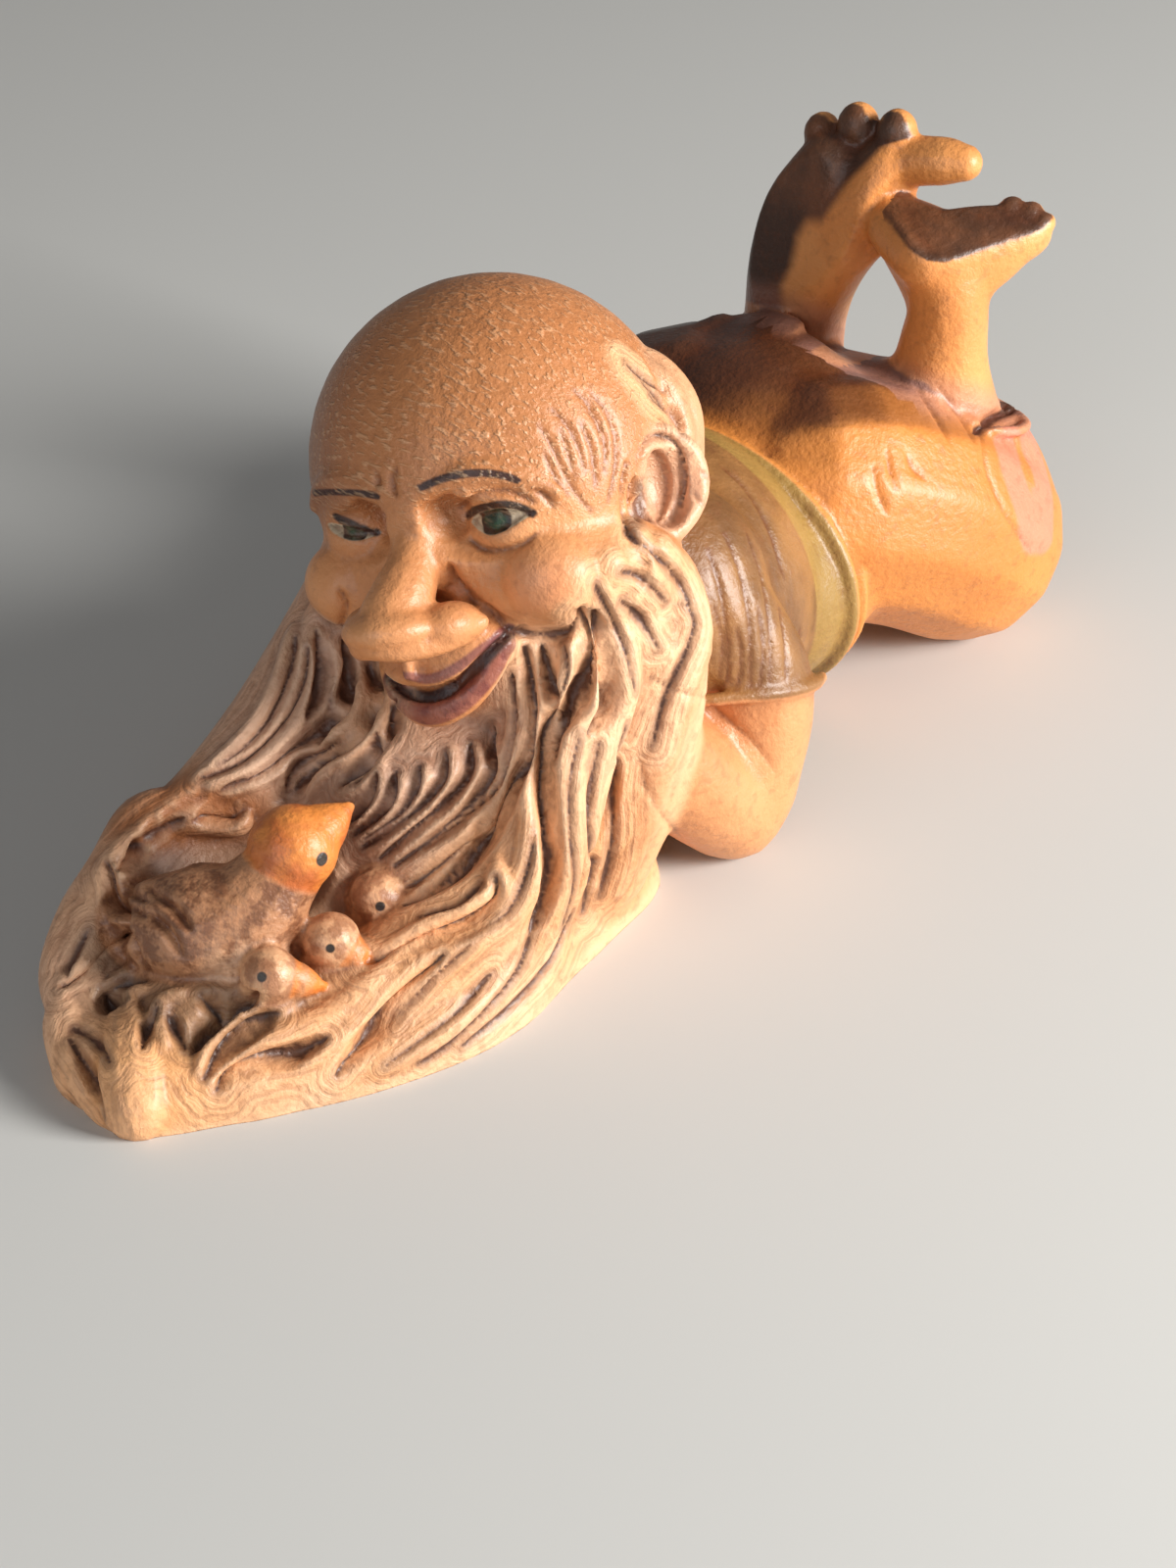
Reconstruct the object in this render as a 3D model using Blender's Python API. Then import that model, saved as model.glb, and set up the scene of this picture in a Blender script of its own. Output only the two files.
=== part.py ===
# A carved troll lying on its front, chin on its hands, with birds nesting in its beard.
import bpy
import bmesh
import numpy as np
from math import cos, pi, radians, sin
from mathutils import Euler, Matrix, Vector
from mathutils.bvhtree import BVHTree

# Driving size of the carving, in metres, from the tip of the beard to the back of the legs.
LENGTH = 0.168

# Every place below is drawn at a length of 168, with +Y from the head to the feet and +Z up.
DRAWN_LENGTH = 168.0
UNIT = LENGTH / DRAWN_LENGTH

# Fineness of the skin around the big masses and around the carved details, in drawn units.
MASS_GRID = 1.2
DETAIL_GRID = 0.7

# Faces left when the whole skin is thinned, and then when its plain areas are thinned again.
EVEN_TRIANGLES = 14800
TRIANGLES = 9500

for old in list(bpy.data.objects):
    bpy.data.objects.remove(old, do_unlink=True)


def place(x, y, z):
    return Vector((x, y, z)) * UNIT


def new_object(name, mesh):
    thing = bpy.data.objects.new(name, mesh)
    bpy.context.scene.collection.objects.link(thing)
    return thing


def spots_of(thing):
    return np.array([vertex.co for vertex in thing.data.vertices]) / UNIT


def move_to(thing, spots):
    thing.data.vertices.foreach_set("co", (spots * UNIT).ravel())
    thing.data.update()


def ball(centre, radii, turn=(0, 0, 0), segments=32):
    mesh = bpy.data.meshes.new("ball")
    shape = bmesh.new()
    bmesh.ops.create_uvsphere(shape, u_segments=segments, v_segments=segments // 2, radius=1.0)
    size = Matrix.Diagonal((*[r * UNIT for r in radii], 1.0))
    spin = Euler([radians(a) for a in turn]).to_matrix().to_4x4()
    bmesh.ops.transform(shape, matrix=Matrix.Translation(place(*centre)) @ spin @ size, verts=shape.verts)
    shape.to_mesh(mesh)
    shape.free()
    return new_object("ball", mesh)


def smooth_route(points, steps=8):
    # A flowing curve through rows of numbers.
    rows = np.array(points, dtype=float)
    ends = np.vstack([2 * rows[0] - rows[1], rows, 2 * rows[-1] - rows[-2]])
    out = []
    for i in range(1, len(rows)):
        a, b, c, d = ends[i - 1:i + 3]
        for t in np.arange(steps) / steps:
            out.append(0.5 * (2 * b + (c - a) * t + (2 * a - 5 * b + 4 * c - d) * t * t
                              + (3 * b - a - 3 * c + d) * t ** 3))
    out.append(rows[-1])
    return np.array(out)


def tube(rows, sides=4):
    # A round bar along rows of x, y, z and radius, with a rounded end of three rings.
    curve = bpy.data.curves.new("limb", "CURVE")
    curve.dimensions = "3D"
    curve.bevel_depth = UNIT
    curve.bevel_resolution = sides
    curve.use_fill_caps = True
    ends = []
    for tip, inner in ((rows[0], rows[1]), (rows[-1], rows[-2])):
        lead = tip[:3] - inner[:3]
        lead = lead / (np.linalg.norm(lead) + 1e-9)
        ends.append([[*(tip[:3] + lead * tip[3] * share), tip[3] * (1 - share ** 2) ** 0.5]
                     for share in (0.98, 0.8, 0.45)])
    path = ends[0] + [list(row) for row in rows] + ends[1][::-1]
    spline = curve.splines.new("POLY")
    spline.points.add(len(path) - 1)
    for point, row in zip(spline.points, path):
        point.co = (*place(*row[:3]), 1.0)
        point.radius = max(row[3], 0.05)
    bar = new_object("limb", curve)
    mesh = bpy.data.meshes.new_from_object(bar)
    bpy.data.objects.remove(bar)
    return new_object("limb", mesh)


def limb(points, steps=8):
    return tube(smooth_route(points, steps))


def settle(thing):
    # Replace the object's mesh by its evaluated one.
    graph = bpy.context.evaluated_depsgraph_get()
    mesh = bpy.data.meshes.new_from_object(thing.evaluated_get(graph))
    thing.modifiers.clear()
    thing.data = mesh
    return thing


def fuse(pieces, grid, rounds):
    # One skin around all the pieces, then a light rub-down.
    with bpy.context.temp_override(active_object=pieces[0], selected_editable_objects=pieces,
                                   selected_objects=pieces, object=pieces[0]):
        bpy.ops.object.join()
    whole = pieces[0]
    skin = whole.modifiers.new("skin", "REMESH")
    skin.mode = "VOXEL"
    skin.voxel_size = grid * UNIT
    rub = whole.modifiers.new("rub", "SMOOTH")
    rub.factor = 0.5
    rub.iterations = rounds
    return settle(whole)


# The head is turned a little, tipped back and leaned to one side, about a point behind the nose.
HEAD_TURN, HEAD_TIP, HEAD_LEAN = 2.7, -19.0, -18.4
HEAD_PIVOT = (-0.1, -1.4, 48.2)
HEAD_SPIN = (Matrix.Rotation(radians(HEAD_TURN), 3, "Z") @ Matrix.Rotation(radians(HEAD_TIP), 3, "X")
             @ Matrix.Rotation(radians(HEAD_LEAN), 3, "Y"))
HEAD_ANGLES = tuple(np.degrees(HEAD_SPIN.to_euler()))
FACE_MIDDLE = 1.1


def on_head(left, front, up):
    # Drawn place of a point given by its way left, forward and up on the head.
    return tuple(HEAD_SPIN @ Vector((left, -front, up)) + Vector(HEAD_PIVOT))


def head_ball(centre, radii, segments=32):
    return ball(on_head(*centre), radii, HEAD_ANGLES, segments)


def head_limb(points, steps=8):
    return limb([(*on_head(*row[:3]), row[3]) for row in points], steps)


def mirrored(rows):
    return [(2 * FACE_MIDDLE - row[0], *row[1:]) for row in rows]


# Big masses: head, beard, body with its arms, legs and feet.
def head_masses():
    return [head_ball((1.2, 1.8, 6.3), (22.6, 22.4, 22.2)),
            head_ball((1.0, 6.5, -4.0), (17.5, 11.5, 15.0)),
            head_ball((0.0, 6.0, -14.0), (15.0, 10.5, 13.0)),
            head_ball((16.0, 0.0, -6.0), (7.0, 9.0, 14.0)),
            head_ball((-15.0, 0.0, -6.0), (7.0, 9.0, 14.0)),
            head_limb([(6, 14.5, -6, 5.5), (15, 11.5, -6.5, 6.5), (20.5, 4, -6, 5)]),
            head_limb([(-4, 14.5, -6, 5.5), (-13, 11.5, -6.5, 6.5), (-18.5, 4, -6, 5)])]


LEFT_FLANK = [(14, -4, 0, 10), (14.5, -20, 0, 10), (15, -34, 0, 10), (9, -48, 0, 10), (2, -60, 0, 8.5),
              (-3, -67, 0, 8)]
RIGHT_FLANK = [(-13, -6, 0, 9), (-15, -20, 0, 9), (-17, -34, 0, 9), (-18, -48, 0, 9), (-14, -59, 0, 8),
               (-9, -66, 0, 8)]
OUTER_FALL = [(21.5, 0, 47, 4), (23, 0, 40, 5), (23, -1, 31, 6), (21.5, -4, 20, 7), (18, -9, 8, 8)]
LEFT_FALL = [(16, 0, 46, 6), (18, -8, 40, 7), (18, -15, 28, 7), (17, -25, 14, 8), (12, -40, 6, 8),
             (4, -54, 3, 7)]
RIGHT_FALL = [(-14, -4, 44, 6), (-14, -14, 37, 6), (-15, -26, 27, 6), (-17, -37, 19, 6),
              (-19, -48, 15, 5.5), (-20, -57, 8, 5.5), (-16, -64, 3, 5)]
BEARD_ROLLS = [LEFT_FLANK, RIGHT_FLANK, OUTER_FALL, LEFT_FALL, RIGHT_FALL]
BEARD_HEART = ((0, -14, 10), (23, 22, 24))


def beard_masses():
    return [ball((-3, -50, 0), (18, 20, 13)), ball(*BEARD_HEART),
            ball((-8, -35, 8), (14, 10, 11))] + [limb(rows) for rows in BEARD_ROLLS]


def arm_rows(side):
    return [[(side * 20, 14, 34, 8), (side * 25, 17, 22, 8), (side * 25.2, 14.5, 8, 7.5)],
            [(side * 25.2, 12.5, 6.4, 7.2), (side * 24, 5, 14, 7.2), (side * 20.5, -3, 25, 7)]]


TORSO_BALLS = [((0, 25, 24), (25.5, 25, 22)), ((0, 40, 20.5), (24.5, 16, 18)),
               ((0, 47, 19.0), (24.0, 14, 17.5)),
               ((12, 14, 33), (15, 14, 15)), ((-12, 14, 31), (15, 14, 14))]


def torso_masses():
    return [ball(*row) for row in TORSO_BALLS] + [limb(rows) for side in (1, -1) for rows in arm_rows(side)]


def leg_masses():
    return [ball((0, 57, 26), (24, 21, 18.5)),
            limb([(-9, 72, 29, 9), (2, 71, 29, 10), (12, 70, 30, 10.5)]),
            limb([(11, 56, 27, 17), (17, 66, 22, 16.5), (21, 76, 14.4, 15.5)]),
            limb([(-11, 56, 27, 17), (-16, 66, 22, 16.5), (-19, 76, 14.0, 15.0)]),
            limb([(24, 82, 15, 9.5), (23, 81, 21, 8.6), (21.5, 80, 25.5, 8.0)]),
            limb([(-18, 83, 16, 9.5), (-14, 81, 26, 9), (-9, 79, 34, 7.5)])]


def foot_masses():
    return [limb([(19.5, 78, 26, 7.4), (17.5, 75.5, 39, 6.6), (18, 75.2, 48, 5.6), (17.5, 75, 53, 5.6)]),
            limb([(15.8, 73, 57, 5.4), (19.5, 79, 57, 5.2), (24, 84, 58, 3.9)]),
            limb([(18, 76, 52, 4.5), (21.5, 81, 56, 4.5)]),
            limb([(-9, 79, 30, 7), (-8.5, 77.5, 40, 6.2), (-8, 76, 48, 5.4), (-6.2, 76.5, 56, 5.4),
                  (-3, 78.5, 62.5, 5.0)]),
            limb([(-8, 79, 30, 7), (-5.5, 77.5, 41, 6.0), (-1.6, 76.5, 50, 5.6), (3.6, 78, 58.5, 5.4),
                  (5, 80, 64, 4.8)])]


def gouge(thing, centre, radii, heading, turn=(0, 0, 0)):
    # Presses the skin along the heading until it lies on the far side of an egg-shaped hollow.
    spots = spots_of(thing)
    own = np.array(Euler([radians(angle) for angle in turn]).to_matrix())
    size = np.array(radii, dtype=float)
    way = (np.array(heading, dtype=float) @ own) / size
    inside = ((spots - np.array(centre)) @ own) / size
    hit = (inside ** 2).sum(1) < 1.0
    q = inside[hit]
    a = (way ** 2).sum()
    b = (q * way).sum(1)
    c = (q ** 2).sum(1) - 1.0
    travel = (-b + np.sqrt(b * b - a * c)) / a
    spots[hit] += travel[:, None] * np.array(heading, dtype=float)
    move_to(thing, spots)


def pare(thing, middle, reach, normal, level):
    # Pares a form down to a plane at a level along its normal, fading out at the reach from the middle.
    spots = spots_of(thing)
    normal = np.array(normal) / np.linalg.norm(normal)
    over = np.maximum(spots @ normal - level, 0)
    near = np.clip((reach - np.linalg.norm(spots - np.array(middle), axis=1)) / 2, 0, 1)
    move_to(thing, spots - (over * near)[:, None] * normal)


# The locks and strokes are drawn as they are seen from one viewpoint, in a sheet 1200 wide and
# 1600 high with x to the right and y down. A line of sight through a place meets the skin.
SHEET_WIDTH, SHEET_HEIGHT = 1200, 1600
SHEET_PITCH = 36.0 / 76.5 / SHEET_HEIGHT
VIEW_ANGLE = radians(35)
VIEWPOINT = Vector((208.7, -281.2, 252.0))
VIEW_RIGHT = Vector((cos(VIEW_ANGLE), sin(VIEW_ANGLE), 0))
VIEW_AHEAD = Vector((-sin(VIEW_ANGLE) * cos(VIEW_ANGLE), cos(VIEW_ANGLE) ** 2, -sin(VIEW_ANGLE)))
VIEW_UP = VIEW_RIGHT.cross(VIEW_AHEAD)


def skin_of(thing):
    return BVHTree.FromObject(thing, bpy.context.evaluated_depsgraph_get())


def seen(place_seen, skin):
    ray = (VIEW_AHEAD + VIEW_RIGHT * ((place_seen[0] - SHEET_WIDTH / 2) * SHEET_PITCH)
           - VIEW_UP * ((place_seen[1] - SHEET_HEIGHT / 2) * SHEET_PITCH)).normalized()
    hit = skin.ray_cast(VIEWPOINT * UNIT, ray)[0]
    if hit is None:
        hit = skin.find_nearest((VIEWPOINT + ray * VIEWPOINT.length) * UNIT)[0]
    return np.array(hit) / UNIT


def seen_route(places, skin, steps=6):
    return np.array([seen(spot, skin) for spot in smooth_route(places, steps)])


def space_route(points, skin, steps=6):
    # A route given by drawn places, each moved to the nearest skin.
    rows = smooth_route(points, steps)
    return np.array([np.array(skin.find_nearest(place(*row))[0]) / UNIT for row in rows])


# Locks of hair as places on the sheet, the radius of the roll and how far it stands out.
NEAR_LOCKS = [
    ([(655, 545), (690, 575), (714, 620), (712, 665), (690, 720), (672, 780), (655, 850), (630, 910)],
     4.0, 1.2),
    ([(628, 575), (655, 610), (668, 650), (660, 700), (640, 760), (622, 830), (604, 900)], 7.5, 1.6),
    ([(618, 600), (640, 660), (640, 715), (620, 770), (605, 830), (592, 890), (560, 960), (505, 1020),
      (440, 1070)], 3.4, 1.1),
    ([(601, 635), (609, 670), (610, 705), (598, 742)], 1.7, 1.3),
    ([(582, 650), (583, 685), (570, 715), (560, 735)], 1.6, 1.2),
    ([(592, 725), (578, 775), (580, 830), (578, 885), (562, 940), (520, 995), (460, 1045), (390, 1090)],
     3.2, 1.7),
    ([(548, 690), (543, 750), (545, 810), (548, 860), (538, 905), (505, 945), (440, 985), (385, 1030),
      (310, 1085)],
     3.0, 1.3),
    ([(530, 690), (528, 740), (515, 800), (495, 850)], 1.8, 1.2),
    ([(508, 880), (506, 912), (472, 936), (425, 955), (388, 977)], 2.0, 1.7),
    ([(400, 985), (345, 1030), (290, 1058), (240, 1085), (215, 1105)], 2.2, 1.2),
    ([(278, 1030), (245, 1043), (218, 1070), (203, 1095)], 1.5, 1.5),
]
CHIN_LOCKS = [
    ([(512, 735), (512, 775), (495, 815), (470, 845), (430, 875), (405, 893)], 1.5, 1.1),
    ([(485, 758), (488, 785), (468, 825), (440, 852), (400, 882)], 1.5, 1.1),
    ([(462, 760), (460, 790), (440, 825), (412, 850), (378, 870)], 1.4, 1.1),
    ([(436, 780), (430, 805), (410, 835), (380, 856)], 1.2, 1.0),
    ([(412, 790), (405, 815), (388, 838), (370, 852)], 1.1, 1.0),
    ([(392, 770), (386, 800), (376, 825), (362, 842)], 1.1, 1.0),
    ([(488, 850), (465, 868), (435, 890), (415, 903)], 1.2, 1.2),
]
FAR_LOCKS = [
    ([(325, 610), (318, 660), (312, 700), (290, 740), (255, 775), (215, 800)], 2.4, 1.4),
    ([(343, 650), (340, 700), (318, 745), (285, 780), (240, 805)], 1.8, 1.3),
    ([(365, 665), (368, 705), (345, 745), (315, 775), (290, 800)], 1.8, 1.3),
    ([(390, 690), (392, 730), (365, 760), (335, 785), (315, 810)], 1.5, 1.2),
    ([(405, 745), (385, 775), (365, 800), (345, 815)], 1.3, 1.1),
    ([(300, 640), (290, 690), (268, 735), (235, 770), (200, 795)], 1.9, 1.3),
]
NEST_LOCKS = [
    ([(150, 1078), (140, 1045), (134, 1020), (148, 1008)], 1.3, 1.5),
    ([(170, 1072), (163, 1042), (168, 1022), (190, 1012)], 1.3, 1.5),
    ([(116, 955), (93, 985), (68, 1005), (57, 1040)], 1.7, 1.2),
    ([(138, 985), (118, 1003), (97, 1014)], 1.4, 1.0),
    ([(62, 1050), (72, 1085), (88, 1120), (103, 1146)], 1.9, 1.2),
]


def lay(rows, skin, lift):
    out = np.array(rows, dtype=float)
    for row in out:
        spot, normal, _, _ = skin.find_nearest(place(*row[:3]))
        row[:3] = np.array(spot + normal * (lift * row[3] * UNIT)) / UNIT
    return out


def lock(places, radius, height, skin):
    # A roll that stands up from the skin by its height at its thickest, and thins to both ends.
    rows = seen_route(places, skin)
    along = np.linspace(0, 1, len(rows))
    width = radius * (0.4 + 0.6 * np.sin(pi * along ** 0.75) ** 0.6)
    return tube(lay(np.column_stack([rows, width]), skin, height / radius - 1), 4)


# Face, ears and the fringe of hair behind them, in ways left, forward and up on the head.
EYE_SPREAD, EYE_HEIGHT, EYE_DEPTH, EYE_RADIUS = 10.2, 0.2, 14.4, 5.2


def face_pieces():
    brow = [(2.2, 22.0, 3.6, 1.4), (5.0, 22.0, 5.2, 1.7), (10.0, 21.0, 6.4, 1.8), (14.5, 18.6, 5.4, 1.5),
            (17.8, 15.8, 3.2, 1.1)]
    pieces = [head_limb(brow), head_limb(mirrored(brow))]
    for side in (1, -1):
        pieces.append(head_ball((FACE_MIDDLE + side * EYE_SPREAD, EYE_DEPTH, EYE_HEIGHT),
                                (EYE_RADIUS,) * 3))
        pieces.append(head_ball((FACE_MIDDLE + side * 13.5, 14.0, -6.4), (6.5, 6.0, 5.6)))
        pieces.append(head_ball((0.6 + side * 5.4, 22.4, -10.8), (3.3, 4.4, 2.7)))
        pieces.append(head_ball((FACE_MIDDLE + side * 2.5, 21.2, 7.4), (2.5, 2.4, 3.0)))
    pieces.append(head_limb([(1.3, 19.4, 3.0, 2.5), (1.2, 21.2, -3.0, 3.0), (0.8, 24.0, -7.0, 3.8),
                             (0.3, 26.4, -9.4, 3.8)]))
    pieces.append(head_ball((0.2, 25.8, -10.6), (6.0, 6.4, 2.9)))
    pieces.append(head_limb([(-5.6, 22.0, -12.0, 1.4), (-3.6, 27.0, -12.4, 1.6), (-0.6, 29.4, -12.0, 1.8),
                             (3.2, 27.6, -12.6, 1.7), (6.6, 23.6, -12.2, 1.5), (8.6, 20.6, -10.9, 1.2)]))
    pieces.append(head_ball((0.8, 15.6, -13.6), (9.6, 6.4, 5.2)))
    return pieces


def lid_pieces():
    upper_lid = [(6.4, 18.2, 0.4, 0.7), (8.6, 19.8, 2.0, 0.9), (11.3, 20.0, 2.6, 1.0),
                 (13.8, 18.8, 2.2, 0.9), (16, 16.8, 1.0, 0.7)]
    lower_lid = [(6.4, 18.2, -0.2, 0.7), (8.6, 19.4, -1.8, 1.0), (11.4, 19.3, -2.1, 1.0),
                 (14, 17.9, -1.2, 0.9), (16, 16.6, 0.6, 0.7)]
    return [head_limb(rows) for rows in (upper_lid, lower_lid, mirrored(upper_lid), mirrored(lower_lid))]


def mouth_pieces():
    upper_lip = [(10.0, 15.6, -12.2, 0.6), (7.5, 18.3, -14.4, 0.9), (4.7, 19.9, -16.2, 1.1),
                 (1.2, 20.5, -17.2, 1.1), (-2.9, 20.2, -17.0, 1.1), (-6.2, 18.6, -16.0, 0.8),
                 (-8.6, 16.2, -14.6, 0.6)]
    lower_lip = [(9.8, 15.6, -13.2, 0.8), (7.4, 17.0, -16.8, 1.5), (3.8, 18.2, -19.9, 2.1),
                 (-0.6, 18.5, -21.3, 2.2), (-4.6, 17.6, -19.9, 1.9), (-7.8, 16.0, -17.2, 1.2),
                 (-9.0, 15.0, -15.0, 0.7)]
    return [head_limb(upper_lip), head_limb(lower_lip),
            head_limb([(-0.6, 22.6, -14.2, 0.7), (-0.9, 22.2, -16.6, 0.75)], 4)]


def ear_pieces():
    helix = [(20.0, 3.9, 5.0, 0.9), (21.6, 2.0, 7.6, 1.1), (23.8, 0.2, 8.0, 1.1), (25.8, -2.2, 5.2, 1.2),
             (26.2, -2.8, 1.2, 1.2), (25.2, -1.1, -2.2, 1.2), (22.8, 2.0, -4.4, 1.6),
             (21.0, 4.0, -3.4, 1.2)]
    return [head_limb(helix), head_limb(mirrored(helix)),
            head_ball((22.4, 0.2, 1.6), (3.4, 3.8, 6.0)), head_ball((-20.2, 0.2, 1.6), (3.4, 3.8, 6.0))]


FRINGE_ROLLS = [[(16.5, -5, 17, 2.0), (19, -7.5, 14, 2.8), (20.5, -9.5, 9.5, 2.9), (20, -10, 3, 2.8)],
                [(18.6, -3, 16, 1.4), (21, -5.6, 12.5, 2.0), (22, -6.6, 7, 2.0)],
                [(13, -10, 16.5, 2.4), (15, -13, 11, 3.0), (16, -14, 4, 3.0)],
                [(8, -14, 16.5, 2.4), (9, -18, 10, 3.0), (9, -18.5, 3, 3.0)],
                [(2, -16, 16.5, 2.4), (2, -20, 10, 3.0), (2, -20, 3, 3.0)]]
FRINGE = FRINGE_ROLLS + [mirrored(rows) for rows in FRINGE_ROLLS]


def fringe_pieces():
    return [head_limb(rows) for rows in FRINGE]


# The mother bird, her three chicks with the way of their beaks, and the nest.
MOTHER_BODY = [(-17.5, -55, 12, 2.4), (-13, -54.5, 13.0, 5.6), (-7, -52.8, 13.8, 7.6),
               (-2, -49.6, 16.5, 6.6), (0.3, -46, 20.5, 5.0)]
MOTHER_BREAST = (-2.5, -51.0, 13.0)
MOTHER_HEAD = (0.8, -44.2, 23.4)
MOTHER_BEAK = [(1.8, -42.4, 24.2, 4.2), (2.9, -39.6, 25.4, 2.7), (3.7, -37.2, 26.4, 0.8)]
CHICKS = [((6.4, -36.0, 13.8), (2.6, 4.2, -0.3)), ((7.3, -45.8, 13.8), (4.4, 1.5, -2.8)),
          ((5.2, -54.6, 13.4), (4.2, 3.8, -1.9))]


def bird_pieces():
    pieces = [limb(MOTHER_BODY), ball(MOTHER_BREAST, (6.8, 6.5, 7.0)), ball(MOTHER_HEAD, (5.4, 5.4, 5.2)),
              limb(MOTHER_BEAK)]
    for head, beak in CHICKS:
        head, beak = Vector(head), Vector(beak)
        pieces.append(ball(head, (3.5, 3.5, 3.4), segments=16))
        pieces.append(ball(head + Vector((-0.8, 0, -4.4)), (4.4, 4.6, 4.0), segments=16))
        pieces.append(limb([(*(head + beak * 0.3), 2.5), (*(head + beak * 0.7), 1.9),
                            (*(head + beak * 1.05), 0.6)], 4))
    return pieces


def nest_pieces():
    rim = [(-13, -38.5, 18.5, 2.2), (-18, -41.5, 19.3, 3.0), (-22.0, -45.0, 18.3, 3.4),
           (-22.8, -51, 14.5, 2.7), (-22.6, -57, 11, 2.7), (-20.5, -63, 7, 2.6), (-15, -67, 5, 2.5)]
    front = [(-7.5, -65, 6, 3.4), (-3.5, -69, 4.5, 4.6), (-1.2, -71.5, 2.5, 4.4)]
    side = [(-16, -62, 7, 1.8), (-16.5, -67, 5, 2.4), (-11, -71.5, 2, 2.6)]
    return [limb(rim), limb(front), limb(side)]


# Toes and the edges of the clothes.
def toe_pieces():
    return [ball((-5.7, 80.2, 66.0), (2.5, 2.8, 2.9), segments=16),
            ball((-0.4, 80.6, 68.2), (2.9, 3.0, 3.3), segments=16),
            ball((5.6, 80.6, 68.8), (2.8, 2.9, 3.2), segments=16),
            limb([(4, 80.2, 64.2, 3.6), (9.5, 80.8, 65.6, 3.4), (13, 81.2, 66.3, 3.2),
                  (15.4, 81.5, 66.6, 2.6)]),
            ball((21.5, 84.4, 60.6), (1.7, 2.0, 1.6), segments=16),
            ball((24.0, 85.2, 60.2), (1.7, 2.0, 1.6), segments=16),
            ball((26.2, 85.0, 59.4), (1.5, 1.9, 1.5), segments=16)]


def ring(points, radius):
    return limb([(*point, radius) for point in points + points[:2]], 5)


def oval(middle_y, middle_z, wide, high, count=24):
    angles = np.linspace(0, 2 * pi, count, endpoint=False)
    return [(wide * cos(a), middle_y, middle_z + high * sin(a)) for a in angles]


def cloth_pieces():
    left_hem = [(11.5, 71.5, 38.5), (17, 69.5, 37.5), (24, 71.5, 35.0), (27.5, 76, 32.5), (27.5, 82, 31),
                (21, 85, 31), (14, 83, 33), (11, 77, 36)]
    right_hem = [(-15.5, 75, 36.5), (-9.5, 71.8, 38.5), (-3, 74, 37.5), (-2, 80, 35), (-8, 84, 33),
                 (-14.5, 81, 34)]
    sleeve = [(22, 3, 26, 0.8), (27, 8, 26, 0.9), (31, 13, 25.5, 0.9), (32.5, 19, 24, 0.9),
              (31, 24, 22, 0.8)]
    return [ring(left_hem, 0.8), ring(right_hem, 0.8), limb(sleeve),
            ring(oval(42.0, 20.5, 24.8, 18.8), 1.0),
            ring(oval(46.0, 19.5, 24.0, 18.6), 0.7)]


# Strokes of the knife: places, half width, depth and how sharp the valley is.
CHEEK_STROKES = [
    [(606, 625), (614, 655), (621, 690), (619, 722), (602, 748)],
    [(592, 622), (599, 655), (597, 690), (583, 722), (566, 745), (562, 778)],
    [(553, 660), (558, 690), (561, 722), (552, 760), (552, 800), (560, 845), (565, 885), (557, 920),
     (543, 950)],
    [(537, 662), (541, 700), (537, 740), (531, 775), (511, 812), (495, 850), (470, 883), (440, 905),
     (412, 922)],
    [(505, 895), (505, 918), (482, 939), (445, 951), (405, 962), (375, 981)],
    [(452, 975), (427, 1000), (402, 1030), (375, 1062), (345, 1097)],
    [(332, 1060), (300, 1076), (262, 1085), (236, 1095), (222, 1112)],
    [(282, 1035), (255, 1047), (228, 1070), (209, 1100)],
]
CHIN_STROKES = [
    [(523, 690), (521, 735), (512, 775), (497, 808), (470, 838), (432, 868)],
    [(505, 745), (500, 785), (480, 820), (448, 850), (402, 884)],
    [(480, 757), (478, 788), (456, 818), (425, 845), (388, 876)],
    [(455, 768), (450, 795), (428, 822), (400, 845), (368, 866)],
    [(428, 783), (420, 810), (398, 838), (370, 858)],
    [(403, 788), (397, 815), (378, 838), (360, 852)],
    [(384, 790), (374, 815), (358, 838)],
    [(497, 842), (470, 865), (440, 888), (415, 905)],
    [(480, 868), (455, 890), (430, 908)],
    [(385, 745), (376, 775), (358, 802)],
]
FAR_STROKES = [
    [(323, 645), (330, 680), (326, 712), (314, 734)],
    [(351, 655), (356, 690), (350, 720), (328, 742), (303, 766), (268, 792), (228, 806)],
    [(376, 680), (385, 705), (377, 732), (355, 756), (325, 778), (303, 803)],
    [(403, 715), (398, 745), (372, 776), (350, 800)],
    [(313, 660), (310, 690), (298, 725), (273, 757), (243, 777), (205, 793)],
    [(300, 650), (292, 690), (275, 730), (250, 758), (220, 780)],
    [(340, 758), (312, 778), (293, 803)],
]
CHEEK_EDGES = [
    [(497, 617), (520, 641), (547, 650), (580, 645), (602, 622)],
    [(458, 575), (466, 598), (490, 618)],
    [(345, 600), (352, 622), (349, 640)],
]
DEEP_NEST_STROKES = [
    [(107, 880), (117, 915), (121, 945), (112, 965), (85, 990), (60, 1005)],
    [(103, 1008), (113, 1022), (125, 1020)],
    [(262, 1015), (235, 1028), (207, 1050), (196, 1072)],
    [(205, 1015), (220, 1028), (215, 1045)],
    [(150, 862), (135, 872), (118, 885)],
    [(200, 838), (225, 832), (250, 826)],
]
HIDDEN_STROKES = [
    [(-20, -2, 42), (-24, -12, 34), (-25, -24, 24), (-26, -36, 16), (-25, -48, 10), (-22, -60, 5)],
    [(-21, -2, 36), (-24, -12, 28), (-24, -24, 19), (-26, -36, 11), (-25, -48, 6)],
    [(-21, -2, 29), (-23, -12, 21), (-24, -24, 13), (-26, -36, 6)],
    [(-21, -3, 22), (-23, -12, 15), (-24, -22, 8)],
    [(-18, -6, 46), (-22, -16, 37), (-24, -28, 28), (-24, -40, 20)],
    [(-20, -3, 14), (-23, -12, 8), (-24, -20, 4)],
]
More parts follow.
